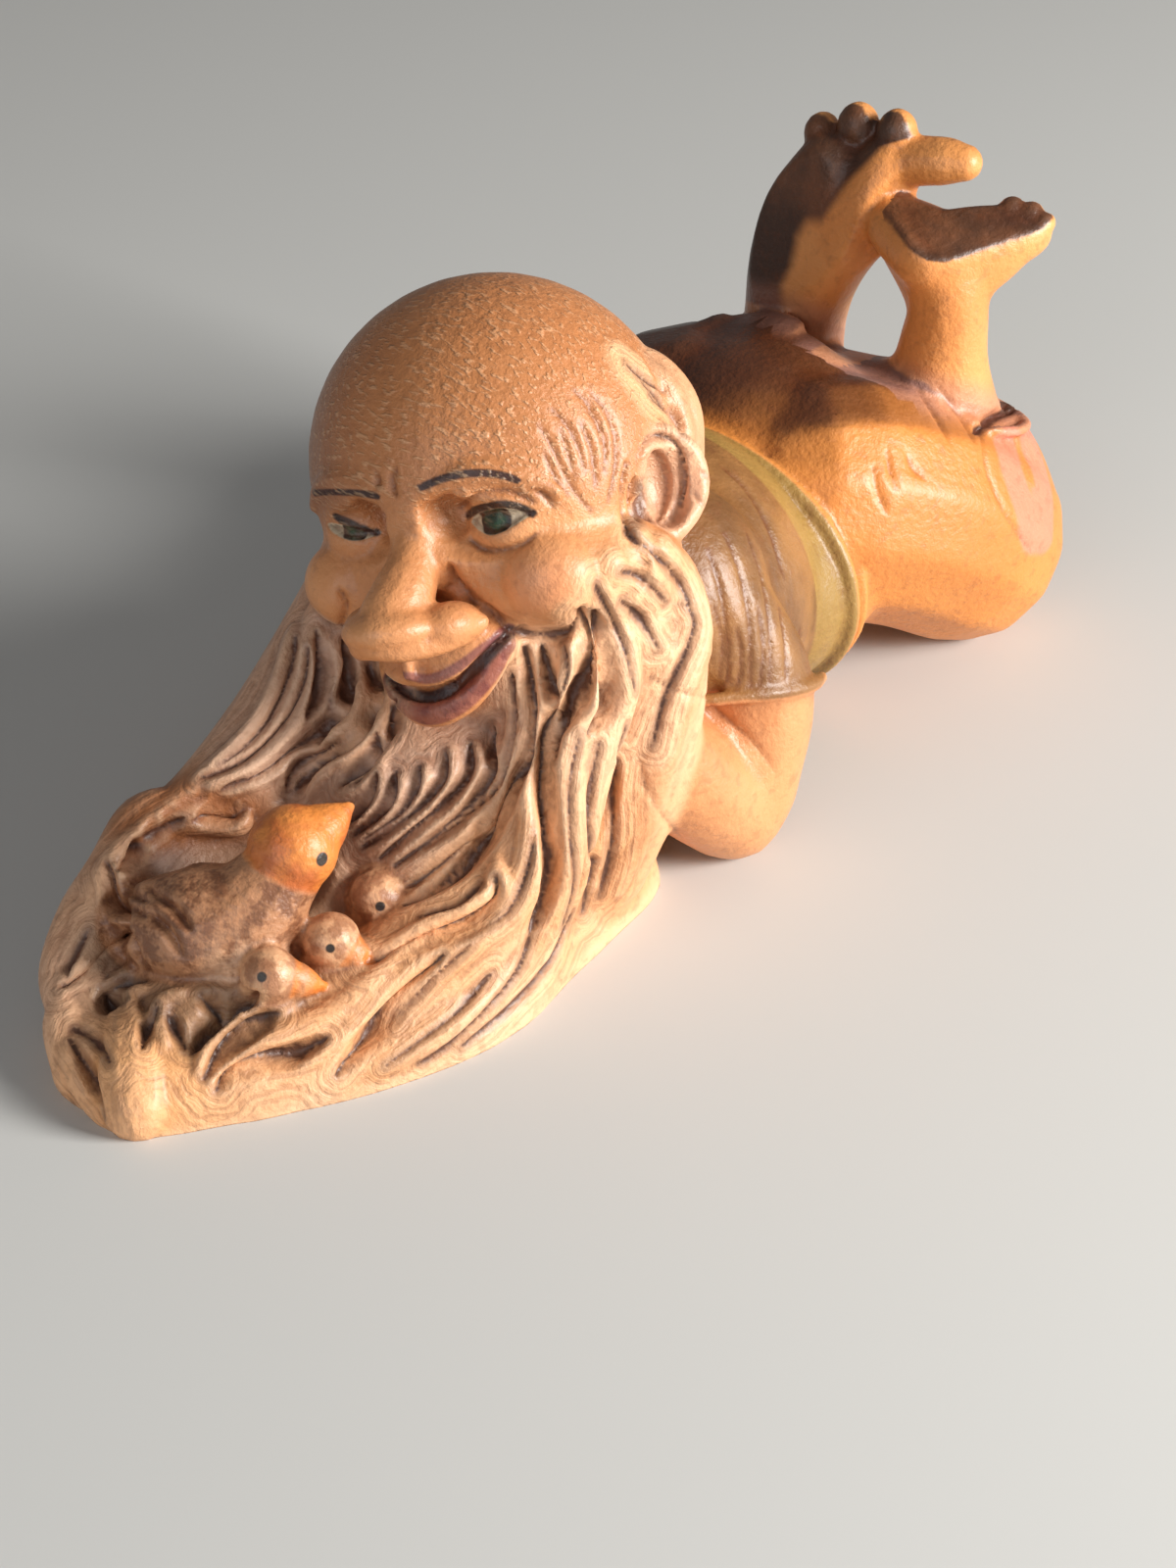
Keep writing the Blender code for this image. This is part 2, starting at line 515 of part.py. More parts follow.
MOUTH_SLIT = [(523, 643), (505, 661), (484, 683), (461, 703), (438, 711), (412, 707), (398, 693)]
CUTS = ((CHEEK_STROKES, 2.6, 3.0, 1.4), (CHIN_STROKES, 1.5, 1.8, 1.3), (FAR_STROKES, 2.1, 2.4, 1.4),
        (CHEEK_EDGES, 1.8, 1.3, 1.8), (DEEP_NEST_STROKES, 2.5, 3.2, 1.3), (HIDDEN_STROKES, 2.4, 2.2, 1.5),
        ([MOUTH_SLIT], 1.8, 1.7, 1.5))

# Egg-shaped hollows: for the eyes and ears their spread, front and up on the head and their radii,
# for the bowl of the nest and the gap behind the raised sole their centre, radii and heading.
SOCKET_CUTS = ((9.6, 26.0, -1.0, (8.0, 8.0, 5.2)), (5.4, 23.6, 1.0, (3.0, 6.2, 3.6)))
EAR_CUTS = ((23.2, 1.7, 1.7, (3.3, 3.3, 4.9)), (21.1, 3.5, -0.2, (1.8, 1.8, 3.0)))
NEST_BOWL = ((-5, -50, 20), (14, 16, 10), (0, 0, -1))
SOLE_GAP = ((-8.5, 64.7, 58), (14, 8, 18), (0, 1, 0))

# Pared soles: middle and reach of the foot, the way that the sole faces and its level along that way.
RIGHT_SOLE = ((-3, 77, 53), 17.0, (-0.08, -0.975, 0.2), -59.9)
LEFT_SOLE = ((20, 79, 59), 12.0, (0.25, -0.25, 0.93), 41.9)

# Where the form is plain, in drawn units.
CROWN_UP, CROWN_FLOOR = 9.0, 40.0
BODY_START, FEET_START = 8.0, 52.0
UNDERSIDE = 1.5

# Warm wood under a satin varnish.
WOOD_COLOUR = (0.52, 0.24, 0.085, 1.0)
VARNISH_ROUGHNESS = 0.38


def stroke_field(rows, spots, half):
    # Each spot's way to the stroke in drawn units, and the stroke's width there.
    way = np.full(len(spots), 99.0)
    width = np.ones(len(spots))
    along = np.linspace(0, 1, len(rows))
    wide = half * (0.3 + 0.7 * np.sin(pi * along) ** 0.6)
    reach = 5.0
    near = np.where(((spots > rows.min(0) - reach) & (spots < rows.max(0) + reach)).all(1))[0]
    for a, b, wa, wb in zip(rows[:-1], rows[1:], wide[:-1], wide[1:]):
        run = b - a
        off = spots[near] - a
        t = np.clip((off @ run) / (run @ run + 1e-9), 0, 1)
        gap = np.linalg.norm(off - t[:, None] * run, axis=1)
        closer = gap < way[near]
        chosen = near[closer]
        way[chosen] = gap[closer]
        width[chosen] = (wa + (wb - wa) * t)[closer]
    return way, width


def smooth_normals(thing, rounds):
    # Normals of a rubbed-down copy, so a stroke beside a lock doesn't tear the lock.
    copy = new_object("copy", thing.data.copy())
    rub = copy.modifiers.new("rub", "SMOOTH")
    rub.factor = 0.5
    rub.iterations = rounds
    settle(copy)
    normals = np.array([vertex.normal for vertex in copy.data.vertices])
    bpy.data.objects.remove(copy)
    return normals


def cut_strokes(thing, skin):
    spots = spots_of(thing)
    normals = smooth_normals(thing, 8)
    sunk = np.zeros(len(spots))
    for strokes, half, depth, sharpness in CUTS:
        for places in strokes:
            rows = space_route(places, skin) if strokes is HIDDEN_STROKES else seen_route(places, skin)
            way, width = stroke_field(rows, spots, half)
            cut = depth * np.clip(1 - way / width, 0, 1) ** sharpness * (width / half)
            sunk = np.maximum(sunk, cut) + 0.3 * np.minimum(sunk, cut)
    move_to(thing, spots - normals * sunk[:, None])


def hollow_sockets(thing):
    backward = tuple(HEAD_SPIN @ Vector((0, 1, 0)))
    for side in (1, -1):
        for spread, front, up, radii in SOCKET_CUTS:
            gouge(thing, on_head(FACE_MIDDLE + side * spread, front, up), radii, backward, HEAD_ANGLES)


def hollow_ears(thing):
    # The ears stand out from the head at an angle, so their bowls are pressed in backwards and inwards.
    for side in (1, -1):
        inward = tuple(HEAD_SPIN @ Vector((-0.72 * side, 0.69, 0)))
        for spread, front, up, radii in EAR_CUTS:
            gouge(thing, on_head(FACE_MIDDLE + side * spread, front, up), radii, inward, HEAD_ANGLES)


def keep_outer(thing):
    # Drops loose crumbs and sealed bubbles: only the largest connected skin stays.
    shape = bmesh.new()
    shape.from_mesh(thing.data)
    left = set(shape.verts)
    best = []
    while left:
        group = [left.pop()]
        found = set(group)
        for vertex in group:
            for edge in vertex.link_edges:
                other = edge.other_vert(vertex)
                if other not in found:
                    found.add(other)
                    group.append(other)
        left -= found
        if len(group) > len(best):
            best = group
    kept = set(best)
    bmesh.ops.delete(shape, geom=[vertex for vertex in shape.verts if vertex not in kept], context="VERTS")
    shape.to_mesh(thing.data)
    shape.free()


def is_plain(spots):
    # The crown, the body, the legs up to the feet, and the flank of the beard behind the hands.
    up = ((spots - np.array(HEAD_PIVOT)) @ np.array(HEAD_SPIN))[:, 2]
    crown = (up > CROWN_UP) & (spots[:, 2] > CROWN_FLOOR)
    behind = (spots[:, 1] > BODY_START) & (spots[:, 2] < FEET_START)
    underside = spots[:, 2] < UNDERSIDE
    return crown | behind | underside


def thin_out(thing):
    # Fewer faces, in two passes: everywhere, then only where the form is plain.
    even = thing.modifiers.new("even", "DECIMATE")
    even.ratio = EVEN_TRIANGLES / (2 * len(thing.data.polygons))
    settle(thing)
    group = thing.vertex_groups.new(name="plain")
    group.add([int(k) for k in np.where(is_plain(spots_of(thing)))[0]], 1.0, "REPLACE")
    thin = thing.modifiers.new("thin", "DECIMATE")
    thin.ratio = TRIANGLES / len(thing.data.polygons)
    thin.vertex_group = group.name
    settle(thing)
    thing.vertex_groups.clear()


def cut_flat(thing):
    # The underside is cut flat at the ground.
    shape = bmesh.new()
    shape.from_mesh(thing.data)
    whole = shape.verts[:] + shape.edges[:] + shape.faces[:]
    made = bmesh.ops.bisect_plane(shape, geom=whole, plane_co=(0, 0, 0), plane_no=(0, 0, 1),
                                  clear_inner=True)
    rim = [edge for edge in made["geom_cut"] if isinstance(edge, bmesh.types.BMEdge)]
    bmesh.ops.holes_fill(shape, edges=rim, sides=0)
    bmesh.ops.triangulate(shape, faces=shape.faces[:])
    shape.to_mesh(thing.data)
    shape.free()


def put_in_middle(thing):
    # The middle of the carving's length and width comes over the origin.
    corners = [np.min(spots_of(thing), axis=0), np.max(spots_of(thing), axis=0)]
    middle = (corners[0] + corners[1]) / 2
    thing.data.transform(Matrix.Translation(place(-middle[0], -middle[1], 0)))


def varnish(thing):
    paint = bpy.data.materials.new("varnished_painted_wood")
    paint.use_nodes = True
    look = paint.node_tree.nodes["Principled BSDF"]
    look.inputs["Base Color"].default_value = WOOD_COLOUR
    look.inputs["Roughness"].default_value = VARNISH_ROUGHNESS
    thing.data.materials.clear()
    thing.data.materials.append(paint)
    thing.data.shade_smooth()


masses = fuse(head_masses() + beard_masses() + torso_masses() + leg_masses() + foot_masses(), MASS_GRID, 6)
hollow_sockets(masses)
gouge(masses, *NEST_BOWL)
gouge(masses, *SOLE_GAP)
pare(masses, *RIGHT_SOLE)
pare(masses, *LEFT_SOLE)
mass_skin = skin_of(masses)
details = [lock(*row, mass_skin) for row in NEAR_LOCKS + CHIN_LOCKS + FAR_LOCKS + NEST_LOCKS]
details += face_pieces() + lid_pieces() + mouth_pieces() + ear_pieces() + fringe_pieces()
details += bird_pieces() + nest_pieces() + toe_pieces() + cloth_pieces()
figure = fuse([masses] + details, DETAIL_GRID, 1)
figure.name = "troll_figurine"
keep_outer(figure)
cut_strokes(figure, skin_of(figure))
hollow_ears(figure)
thin_out(figure)
cut_flat(figure)
put_in_middle(figure)
varnish(figure)
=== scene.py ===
# %% [markdown]
# A carved troll lies on its front with its chin on its hands, and birds nest in its beard.
# The real figure is one piece of wood, cut with gouges, painted with thin washes and varnished.
# Here it is cut in the same order: big round masses first, then the deep valleys, then the fine
# strokes, and the paint last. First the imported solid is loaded, because it says how large the
# figure is and where it lies.

# %% Load the solid
import bpy
import numpy as np
from math import cos, pi, radians, sin
from mathutils import Euler, Matrix, Vector
from mathutils.bvhtree import BVHTree


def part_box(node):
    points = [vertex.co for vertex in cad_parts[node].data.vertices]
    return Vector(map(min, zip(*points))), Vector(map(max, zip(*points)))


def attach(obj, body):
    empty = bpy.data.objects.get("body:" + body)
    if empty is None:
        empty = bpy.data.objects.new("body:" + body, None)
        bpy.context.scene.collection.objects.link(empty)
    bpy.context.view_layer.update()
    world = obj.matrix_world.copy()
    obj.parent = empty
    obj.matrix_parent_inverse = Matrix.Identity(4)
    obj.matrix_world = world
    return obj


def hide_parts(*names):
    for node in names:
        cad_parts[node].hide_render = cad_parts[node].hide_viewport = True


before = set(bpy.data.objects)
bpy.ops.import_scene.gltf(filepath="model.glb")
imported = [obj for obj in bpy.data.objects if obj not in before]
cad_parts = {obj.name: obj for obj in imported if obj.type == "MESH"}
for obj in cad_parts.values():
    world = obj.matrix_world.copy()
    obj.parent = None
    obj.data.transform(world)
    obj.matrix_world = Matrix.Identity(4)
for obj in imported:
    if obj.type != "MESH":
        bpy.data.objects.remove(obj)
SOLID_LOW, SOLID_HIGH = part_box("troll_figurine")
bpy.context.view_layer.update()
print("solid from", tuple(SOLID_LOW), "to", tuple(SOLID_HIGH))

# %% [markdown]
# Every place below is given in millimetres, with +Y from the head to the feet and +Z up.
# A ball and a round limb are all that the rough figure needs. A sculptor starts a clay figure
# the same way, because a few eggs and rolls give the pose before any detail is there.

# %% Balls and limbs
MM = 0.001
MASS_GRID, DETAIL_GRID, TRIANGLES = 0.9, 0.46, 190000
print("grid of", DETAIL_GRID, "mm for the details")


def spots_of(thing):
    return np.array([vertex.co for vertex in thing.data.vertices]) / MM


def move_to(thing, spots):
    thing.data.vertices.foreach_set("co", (spots * MM).ravel())
    thing.data.update()


def deselect():
    for other in list(bpy.context.selected_objects):
        other.select_set(False)


def ball(centre, radii, turn=(0, 0, 0), segments=32):
    deselect()
    bpy.ops.mesh.primitive_uv_sphere_add(segments=segments, ring_count=segments // 2, radius=MM,
                                         location=Vector(centre) * MM,
                                         rotation=[radians(angle) for angle in turn], scale=radii)
    bpy.ops.object.transform_apply(location=True, rotation=True, scale=True)
    return bpy.context.object


def smooth_route(points, steps=8):
    # A Catmull-Rom curve through rows of numbers, so a few points give a flowing line.
    rows = np.array(points, dtype=float)
    ends = np.vstack([2 * rows[0] - rows[1], rows, 2 * rows[-1] - rows[-2]])
    out = []
    for i in range(1, len(rows)):
        a, b, c, d = ends[i - 1:i + 3]
        for t in np.arange(steps) / steps:
            out.append(0.5 * (2 * b + (c - a) * t + (2 * a - 5 * b + 4 * c - d) * t * t
                              + (3 * b - a - 3 * c + d) * t ** 3))
    out.append(rows[-1])
    return np.array(out)


def tube(rows, sides=4):
    # A round bar along rows of x, y, z and radius, with a rounded end of three rings.
    curve = bpy.data.curves.new("limb", "CURVE")
    curve.dimensions = "3D"
    curve.bevel_depth = MM
    curve.bevel_resolution = sides
    curve.use_fill_caps = True
    ends = []
    for tip, inner in ((rows[0], rows[1]), (rows[-1], rows[-2])):
        lead = tip[:3] - inner[:3]
        lead = lead / (np.linalg.norm(lead) + 1e-9)
        ends.append([[*(tip[:3] + lead * tip[3] * share), tip[3] * (1 - share ** 2) ** 0.5]
                     for share in (0.98, 0.8, 0.45)])
    path = ends[0] + [list(row) for row in rows] + ends[1][::-1]
    spline = curve.splines.new("POLY")
    spline.points.add(len(path) - 1)
    for point, row in zip(spline.points, path):
        point.co = (*(Vector(row[:3]) * MM), 1.0)
        point.radius = max(row[3], 0.05)
    thing = bpy.data.objects.new("limb", curve)
    mesh = bpy.data.meshes.new_from_object(thing)
    bpy.data.objects.remove(thing)
    thing = bpy.data.objects.new("limb", mesh)
    bpy.context.scene.collection.objects.link(thing)
    return thing


def limb(points, steps=8):
    return tube(smooth_route(points, steps))


def apply_all(thing):
    deselect()
    thing.select_set(True)
    bpy.context.view_layer.objects.active = thing
    for modifier in list(thing.modifiers):
        bpy.ops.object.modifier_apply(modifier=modifier.name)


def fuse(pieces, grid, rounds):
    # One skin around all the pieces, rubbed down a little.
    deselect()
    for piece in pieces:
        piece.select_set(True)
    bpy.context.view_layer.objects.active = pieces[0]
    bpy.ops.object.join()
    whole = bpy.context.object
    skin = whole.modifiers.new("skin", "REMESH")
    skin.mode = "VOXEL"
    skin.voxel_size = grid * MM
    rub = whole.modifiers.new("rub", "SMOOTH")
    rub.factor = 0.5
    rub.iterations = rounds
    apply_all(whole)
    return whole


# %% [markdown]
# The head is turned, tipped back and leaned on the hands, so its own left, front and up are
# used for all that sits on it. The numbers then stay simple: the eyes are level on the head
# even though the head isn't level in the room.

# %% Ways on the head
HEAD_TURN, HEAD_TIP, HEAD_LEAN = 2.7, -19.0, -18.4
HEAD_PIVOT = (-0.1, -1.4, 48.2)
HEAD_SPIN = (Matrix.Rotation(radians(HEAD_TURN), 3, "Z") @ Matrix.Rotation(radians(HEAD_TIP), 3, "X")
             @ Matrix.Rotation(radians(HEAD_LEAN), 3, "Y"))
HEAD_ANGLES = tuple(np.degrees(HEAD_SPIN.to_euler()))
FACE_MIDDLE = 1.1


def on_head(left, front, up):
    return tuple(HEAD_SPIN @ Vector((left, -front, up)) + Vector(HEAD_PIVOT))


def head_ball(centre, radii, segments=32):
    return ball(on_head(*centre), radii, HEAD_ANGLES, segments)


def head_limb(points, steps=8):
    return limb([(*on_head(*row[:3]), row[3]) for row in points], steps)


def mirrored(rows):
    return [(2 * FACE_MIDDLE - row[0], *row[1:]) for row in rows]


print("the nose points along", tuple(round(way, 2) for way in HEAD_SPIN @ Vector((0, -1, 0))))


# %% [markdown]
# The big masses: skull, jaw and cheeks, the beard that flows down to a blunt point, the
# body with its arms bent under the chin, and the legs that rise from the knees.

# %% Big masses
def head_masses():
    return [head_ball((1.2, 1.8, 6.3), (22.6, 22.4, 22.2)),
            head_ball((1.0, 6.5, -4.0), (17.5, 11.5, 15.0)),
            head_ball((0.0, 6.0, -14.0), (15.0, 10.5, 13.0)),
            head_ball((16.0, 0.0, -6.0), (7.0, 9.0, 14.0)),
            head_ball((-15.0, 0.0, -6.0), (7.0, 9.0, 14.0)),
            head_limb([(6, 14.5, -6, 5.5), (15, 11.5, -6.5, 6.5), (20.5, 4, -6, 5)]),
            head_limb([(-4, 14.5, -6, 5.5), (-13, 11.5, -6.5, 6.5), (-18.5, 4, -6, 5)])]


LEFT_FLANK = [(14, -4, 0, 10), (14.5, -20, 0, 10), (15, -34, 0, 10), (9, -48, 0, 10), (2, -60, 0, 8.5),
              (-3, -67, 0, 8)]
RIGHT_FLANK = [(-13, -6, 0, 9), (-15, -20, 0, 9), (-17, -34, 0, 9), (-18, -48, 0, 9), (-14, -59, 0, 8),
               (-9, -66, 0, 8)]
OUTER_FALL = [(21.5, 0, 47, 4), (23, 0, 40, 5), (23, -1, 31, 6), (21.5, -4, 20, 7), (18, -9, 8, 8)]
LEFT_FALL = [(16, 0, 46, 6), (18, -8, 40, 7), (18, -15, 28, 7), (17, -25, 14, 8), (12, -40, 6, 8),
             (4, -54, 3, 7)]
RIGHT_FALL = [(-14, -4, 44, 6), (-14, -14, 37, 6), (-15, -26, 27, 6), (-17, -37, 19, 6),
              (-19, -48, 15, 5.5),
              (-20, -57, 8, 5.5), (-16, -64, 3, 5)]
BEARD_ROLLS = [LEFT_FLANK, RIGHT_FLANK, OUTER_FALL, LEFT_FALL, RIGHT_FALL]
BEARD_HEART = ((0, -14, 10), (23, 22, 24))


def beard_masses():
    return [ball((-3, -50, 0), (18, 20, 13)), ball(*BEARD_HEART),
            ball((-8, -35, 8), (14, 10, 11))] + [limb(rows) for rows in BEARD_ROLLS]


def arm_rows(side):
    return [[(side * 20, 14, 34, 8), (side * 25, 17, 22, 8), (side * 25.2, 14.5, 8, 7.5)],
            [(side * 25.2, 12.5, 6.4, 7.2), (side * 24, 5, 14, 7.2), (side * 20.5, -3, 25, 7)]]


TORSO_BALLS = [((0, 25, 24), (25.5, 25, 22)), ((0, 40, 20.5), (24.5, 16, 18)),
               ((0, 47, 19.0), (24.0, 14, 17.5)),
               ((12, 14, 33), (15, 14, 15)), ((-12, 14, 31), (15, 14, 14))]


def torso_masses():
    return [ball(*row) for row in TORSO_BALLS] + [limb(rows) for side in (1, -1) for rows in arm_rows(side)]


def leg_masses():
    return [ball((0, 57, 26), (24, 21, 18.5)),
            limb([(-9, 72, 29, 9), (2, 71, 29, 10), (12, 70, 30, 10.5)]),
            limb([(11, 56, 27, 17), (17, 66, 22, 16.5), (21, 76, 14.4, 15.5)]),
            limb([(-11, 56, 27, 17), (-16, 66, 22, 16.5), (-19, 76, 14.0, 15.0)]),
            limb([(24, 82, 15, 9.5), (23, 81, 21, 8.6), (21.5, 80, 25.5, 8.0)]),
            limb([(-18, 83, 16, 9.5), (-14, 81, 26, 9), (-9, 79, 34, 7.5)])]


def foot_masses():
    return [limb([(19.5, 78, 26, 7.4), (17.5, 75.5, 39, 6.6), (18, 75.2, 48, 5.6), (17.5, 75, 53, 5.6)]),
            limb([(15.8, 73, 57, 5.4), (19.5, 79, 57, 5.2), (24, 84, 58, 3.9)]),
            limb([(18, 76, 52, 4.5), (21.5, 81, 56, 4.5)]),
            limb([(-9, 79, 30, 7), (-8.5, 77.5, 40, 6.2), (-8, 76, 48, 5.4), (-6.2, 76.5, 56, 5.4),
                  (-3, 78.5, 62.5, 5.0)]),
            limb([(-8, 79, 30, 7), (-5.5, 77.5, 41, 6.0), (-1.6, 76.5, 50, 5.6), (3.6, 78, 58.5, 5.4),
                  (5, 80, 64, 4.8)])]


masses = fuse(head_masses() + beard_masses() + torso_masses() + leg_masses() + foot_masses(), MASS_GRID, 9)
print("masses:", len(masses.data.polygons), "faces")

# %% [markdown]
# A gouge presses the skin back onto the far side of an egg-shaped hollow. It makes the eye
# sockets and the bowl of the nest before anything is laid in them. A boolean cut would do too,
# but it leaves a hard rim that a carver would have rounded off.

# %% Hollows
def gouge(thing, centre, radii, heading, turn=(0, 0, 0)):
    spots = spots_of(thing)
    own = np.array(Euler([radians(angle) for angle in turn]).to_matrix())
    size = np.array(radii, dtype=float)
    inside = ((spots - np.array(centre)) @ own) / size
    way = (np.array(heading, dtype=float) @ own) / size
    hit = (inside ** 2).sum(1) < 1.0
    q = inside[hit]
    a = (way ** 2).sum()
    b = (q * way).sum(1)
    c = (q ** 2).sum(1) - 1.0
    travel = (-b + np.sqrt(b * b - a * c)) / a
    spots[hit] += travel[:, None] * np.array(heading, dtype=float)
    move_to(thing, spots)


def pare(thing, middle, reach, normal, level):
    # Pares a form down to a plane, fading out at the reach from its middle.
    spots = spots_of(thing)
    normal = np.array(normal) / np.linalg.norm(normal)
    over = np.maximum(spots @ normal - level, 0)
    near = np.clip((reach - np.linalg.norm(spots - np.array(middle), axis=1)) / 2, 0, 1)
    move_to(thing, spots - (over * near)[:, None] * normal)


BACKWARD = tuple(HEAD_SPIN @ Vector((0, 1, 0)))
SOCKET = (9.6, 26.0, -1.0, (8.0, 8.0, 5.2))
INNER_CORNER = (5.4, 23.6, 1.0, (3.0, 6.2, 3.6))
for side in (1, -1):
    for spread, ahead, up, radii in (SOCKET, INNER_CORNER):
        gouge(masses, on_head(FACE_MIDDLE + side * spread, ahead, up), radii, BACKWARD, HEAD_ANGLES)
NEST_BOWL = ((-5, -50, 20), (14, 16, 10), (0, 0, -1))
SOLE_GAP = ((-8.5, 64.7, 58), (14, 8, 18), (0, 1, 0))
gouge(masses, *NEST_BOWL)
gouge(masses, *SOLE_GAP)
# Middle and reach of each pared foot, the way that the flat faces and its level along that way. The
# inner side of the right foot is pared last, so that a crisp ridge runs between it and the sole.
RIGHT_SOLE_WAY, LEFT_SOLE_WAY = (-0.08, -0.975, 0.2), (0.25, -0.25, 0.93)
FLATS = (((-3, 77, 53), 17.0, RIGHT_SOLE_WAY, -59.9), ((20, 79, 59), 12.0, LEFT_SOLE_WAY, 41.9),
         ((2, 77, 56), 14.0, (0.85, -0.5, -0.15), -41.4))
for flat in FLATS:
    pare(masses, *flat)
print("hollows pressed in, and", len(FLATS), "flats pared on the feet")

# %% [markdown]
# The carved strokes were planned on the photograph, so their places are given in its pixels,
# x to the right and y down in a frame of 1200 by 1600. A ray from the viewpoint through such a
# place meets the figure's skin, and there the stroke lies. So a stroke follows the form in
# every view, and only its planning belongs to one.

# %% Planning on the photograph
PHOTO_WIDTH, PHOTO_HEIGHT = 1200, 1600
LENS, SENSOR = 76.5, 36.0
VIEWPOINT = Vector((208.7, -281.2, 252.0))
VIEW_ANGLE = radians(35)
VIEW_RIGHT = Vector((cos(VIEW_ANGLE), sin(VIEW_ANGLE), 0))
VIEW_AHEAD = Vector((-sin(VIEW_ANGLE) * cos(VIEW_ANGLE), cos(VIEW_ANGLE) ** 2, -sin(VIEW_ANGLE)))
VIEW_UP = VIEW_RIGHT.cross(VIEW_AHEAD)
PITCH = SENSOR / PHOTO_HEIGHT / LENS
LONGEST_LEAP = 9.0


def skin_of(thing):
    return BVHTree.FromObject(thing, bpy.context.evaluated_depsgraph_get())


def seen(place, skin):
    ray = (VIEW_AHEAD + VIEW_RIGHT * ((place[0] - PHOTO_WIDTH / 2) * PITCH)
           - VIEW_UP * ((place[1] - PHOTO_HEIGHT / 2) * PITCH)).normalized()
    hit = skin.ray_cast(VIEWPOINT * MM, ray)[0]
    if hit is None:
        hit = skin.find_nearest(VIEWPOINT * MM + ray * (VIEWPOINT.length * MM))[0]
    return np.array(hit) / MM


def seen_route(places, skin, steps=6):
    # Stroke rows in millimetres; a leap from one form to another behind it ends the stroke.
    rows = [seen(place, skin) for place in smooth_route(places, steps)]
    kept = [rows[0]]
    for row in rows[1:]:
        if np.linalg.norm(row - kept[-1]) < LONGEST_LEAP:
            kept.append(row)
    return np.array(kept)


mass_skin = skin_of(masses)
print("the line of sight through the nose meets the rough head at", seen((455, 640), mass_skin).round(1))

# %% [markdown]
# The main locks of hair are rolls that lie half sunk in the skin. Where two rolls meet, a valley
# forms by itself, as between the locks that a carver rounds one by one.

# %% Locks of hair
NEAR_LOCKS = [
    ([(655, 545), (690, 575), (714, 620), (712, 665), (690, 720), (672, 780), (655, 850), (630, 910)], 4.0,
     1.2),
    ([(628, 575), (655, 610), (668, 650), (660, 700), (640, 760), (622, 830), (604, 900)], 7.5, 1.6),
    ([(618, 600), (640, 660), (640, 715), (620, 770), (605, 830), (592, 890), (560, 960), (505, 1020),
      (440, 1070)],
     3.4, 1.1),
    ([(601, 635), (609, 670), (610, 705), (598, 742)], 1.7, 1.3),
    ([(582, 650), (583, 685), (570, 715), (560, 735)], 1.6, 1.2),
    ([(592, 725), (578, 775), (580, 830), (578, 885), (562, 940), (520, 995), (460, 1045), (390, 1090)],
     3.2, 1.7),
    ([(548, 690), (543, 750), (545, 810), (548, 860), (538, 905), (505, 945), (440, 985), (385, 1030),
      (310, 1085)],
     3.0, 1.3),
    ([(530, 690), (528, 740), (515, 800), (495, 850)], 1.8, 1.2),
    ([(508, 880), (506, 912), (472, 936), (425, 955), (388, 977)], 2.0, 1.7),
    ([(400, 985), (345, 1030), (290, 1058), (240, 1085), (215, 1105)], 2.2, 1.2),
    ([(278, 1030), (245, 1043), (218, 1070), (203, 1095)], 1.5, 1.5),
]
CHIN_LOCKS = [
    ([(512, 735), (512, 775), (495, 815), (470, 845), (430, 875), (405, 893)], 1.5, 1.1),
    ([(485, 758), (488, 785), (468, 825), (440, 852), (400, 882)], 1.5, 1.1),
    ([(462, 760), (460, 790), (440, 825), (412, 850), (378, 870)], 1.4, 1.1),
    ([(436, 780), (430, 805), (410, 835), (380, 856)], 1.2, 1.0),
    ([(412, 790), (405, 815), (388, 838), (370, 852)], 1.1, 1.0),
    ([(392, 770), (386, 800), (376, 825), (362, 842)], 1.1, 1.0),
    ([(488, 850), (465, 868), (435, 890), (415, 903)], 1.2, 1.2),
]
FAR_LOCKS = [
    ([(325, 610), (318, 660), (312, 700), (290, 740), (255, 775), (215, 800)], 2.4, 1.4),
    ([(343, 650), (340, 700), (318, 745), (285, 780), (240, 805)], 1.8, 1.3),
    ([(365, 665), (368, 705), (345, 745), (315, 775), (290, 800)], 1.8, 1.3),
    ([(390, 690), (392, 730), (365, 760), (335, 785), (315, 810)], 1.5, 1.2),
    ([(405, 745), (385, 775), (365, 800), (345, 815)], 1.3, 1.1),
    ([(300, 640), (290, 690), (268, 735), (235, 770), (200, 795)], 1.9, 1.3),
]
NEST_LOCKS = [
    ([(150, 1078), (140, 1045), (134, 1020), (148, 1008)], 1.3, 1.5),
    ([(170, 1072), (163, 1042), (168, 1022), (190, 1012)], 1.3, 1.5),
    ([(116, 955), (93, 985), (68, 1005), (57, 1040)], 1.7, 1.2),
    ([(138, 985), (118, 1003), (97, 1014)], 1.4, 1.0),
    ([(62, 1050), (72, 1085), (88, 1120), (103, 1146)], 1.9, 1.2),
]


def lay(rows, skin, lift):
    out = np.array(rows, dtype=float)
    for row in out:
        spot, normal, _, _ = skin.find_nearest(Vector(row[:3]) * MM)
        row[:3] = np.array(spot + normal * (lift * row[3] * MM)) / MM
    return out


def lock(places, radius, height, skin):
    # A roll that stands up from the skin by its height at its thickest, and thins to both ends.
    rows = seen_route(places, skin)
    along = np.linspace(0, 1, len(rows))
    width = radius * (0.4 + 0.6 * np.sin(pi * along ** 0.75) ** 0.6)
    return tube(lay(np.column_stack([rows, width]), skin, height / radius - 1), 4)


details = [lock(*row, mass_skin) for row in NEAR_LOCKS + CHIN_LOCKS + FAR_LOCKS + NEST_LOCKS]
print("locks:", len(details))

# %% [markdown]
# The face is all smile: round cheeks, a long nose with a drooping tip, and a wide mouth with one
# tooth. Each is a ball or a roll, sunk into the head so far that only its crown shows. The eyes
# are laid as closed balls, because a carver also leaves the lids whole and cuts the opening
# last.

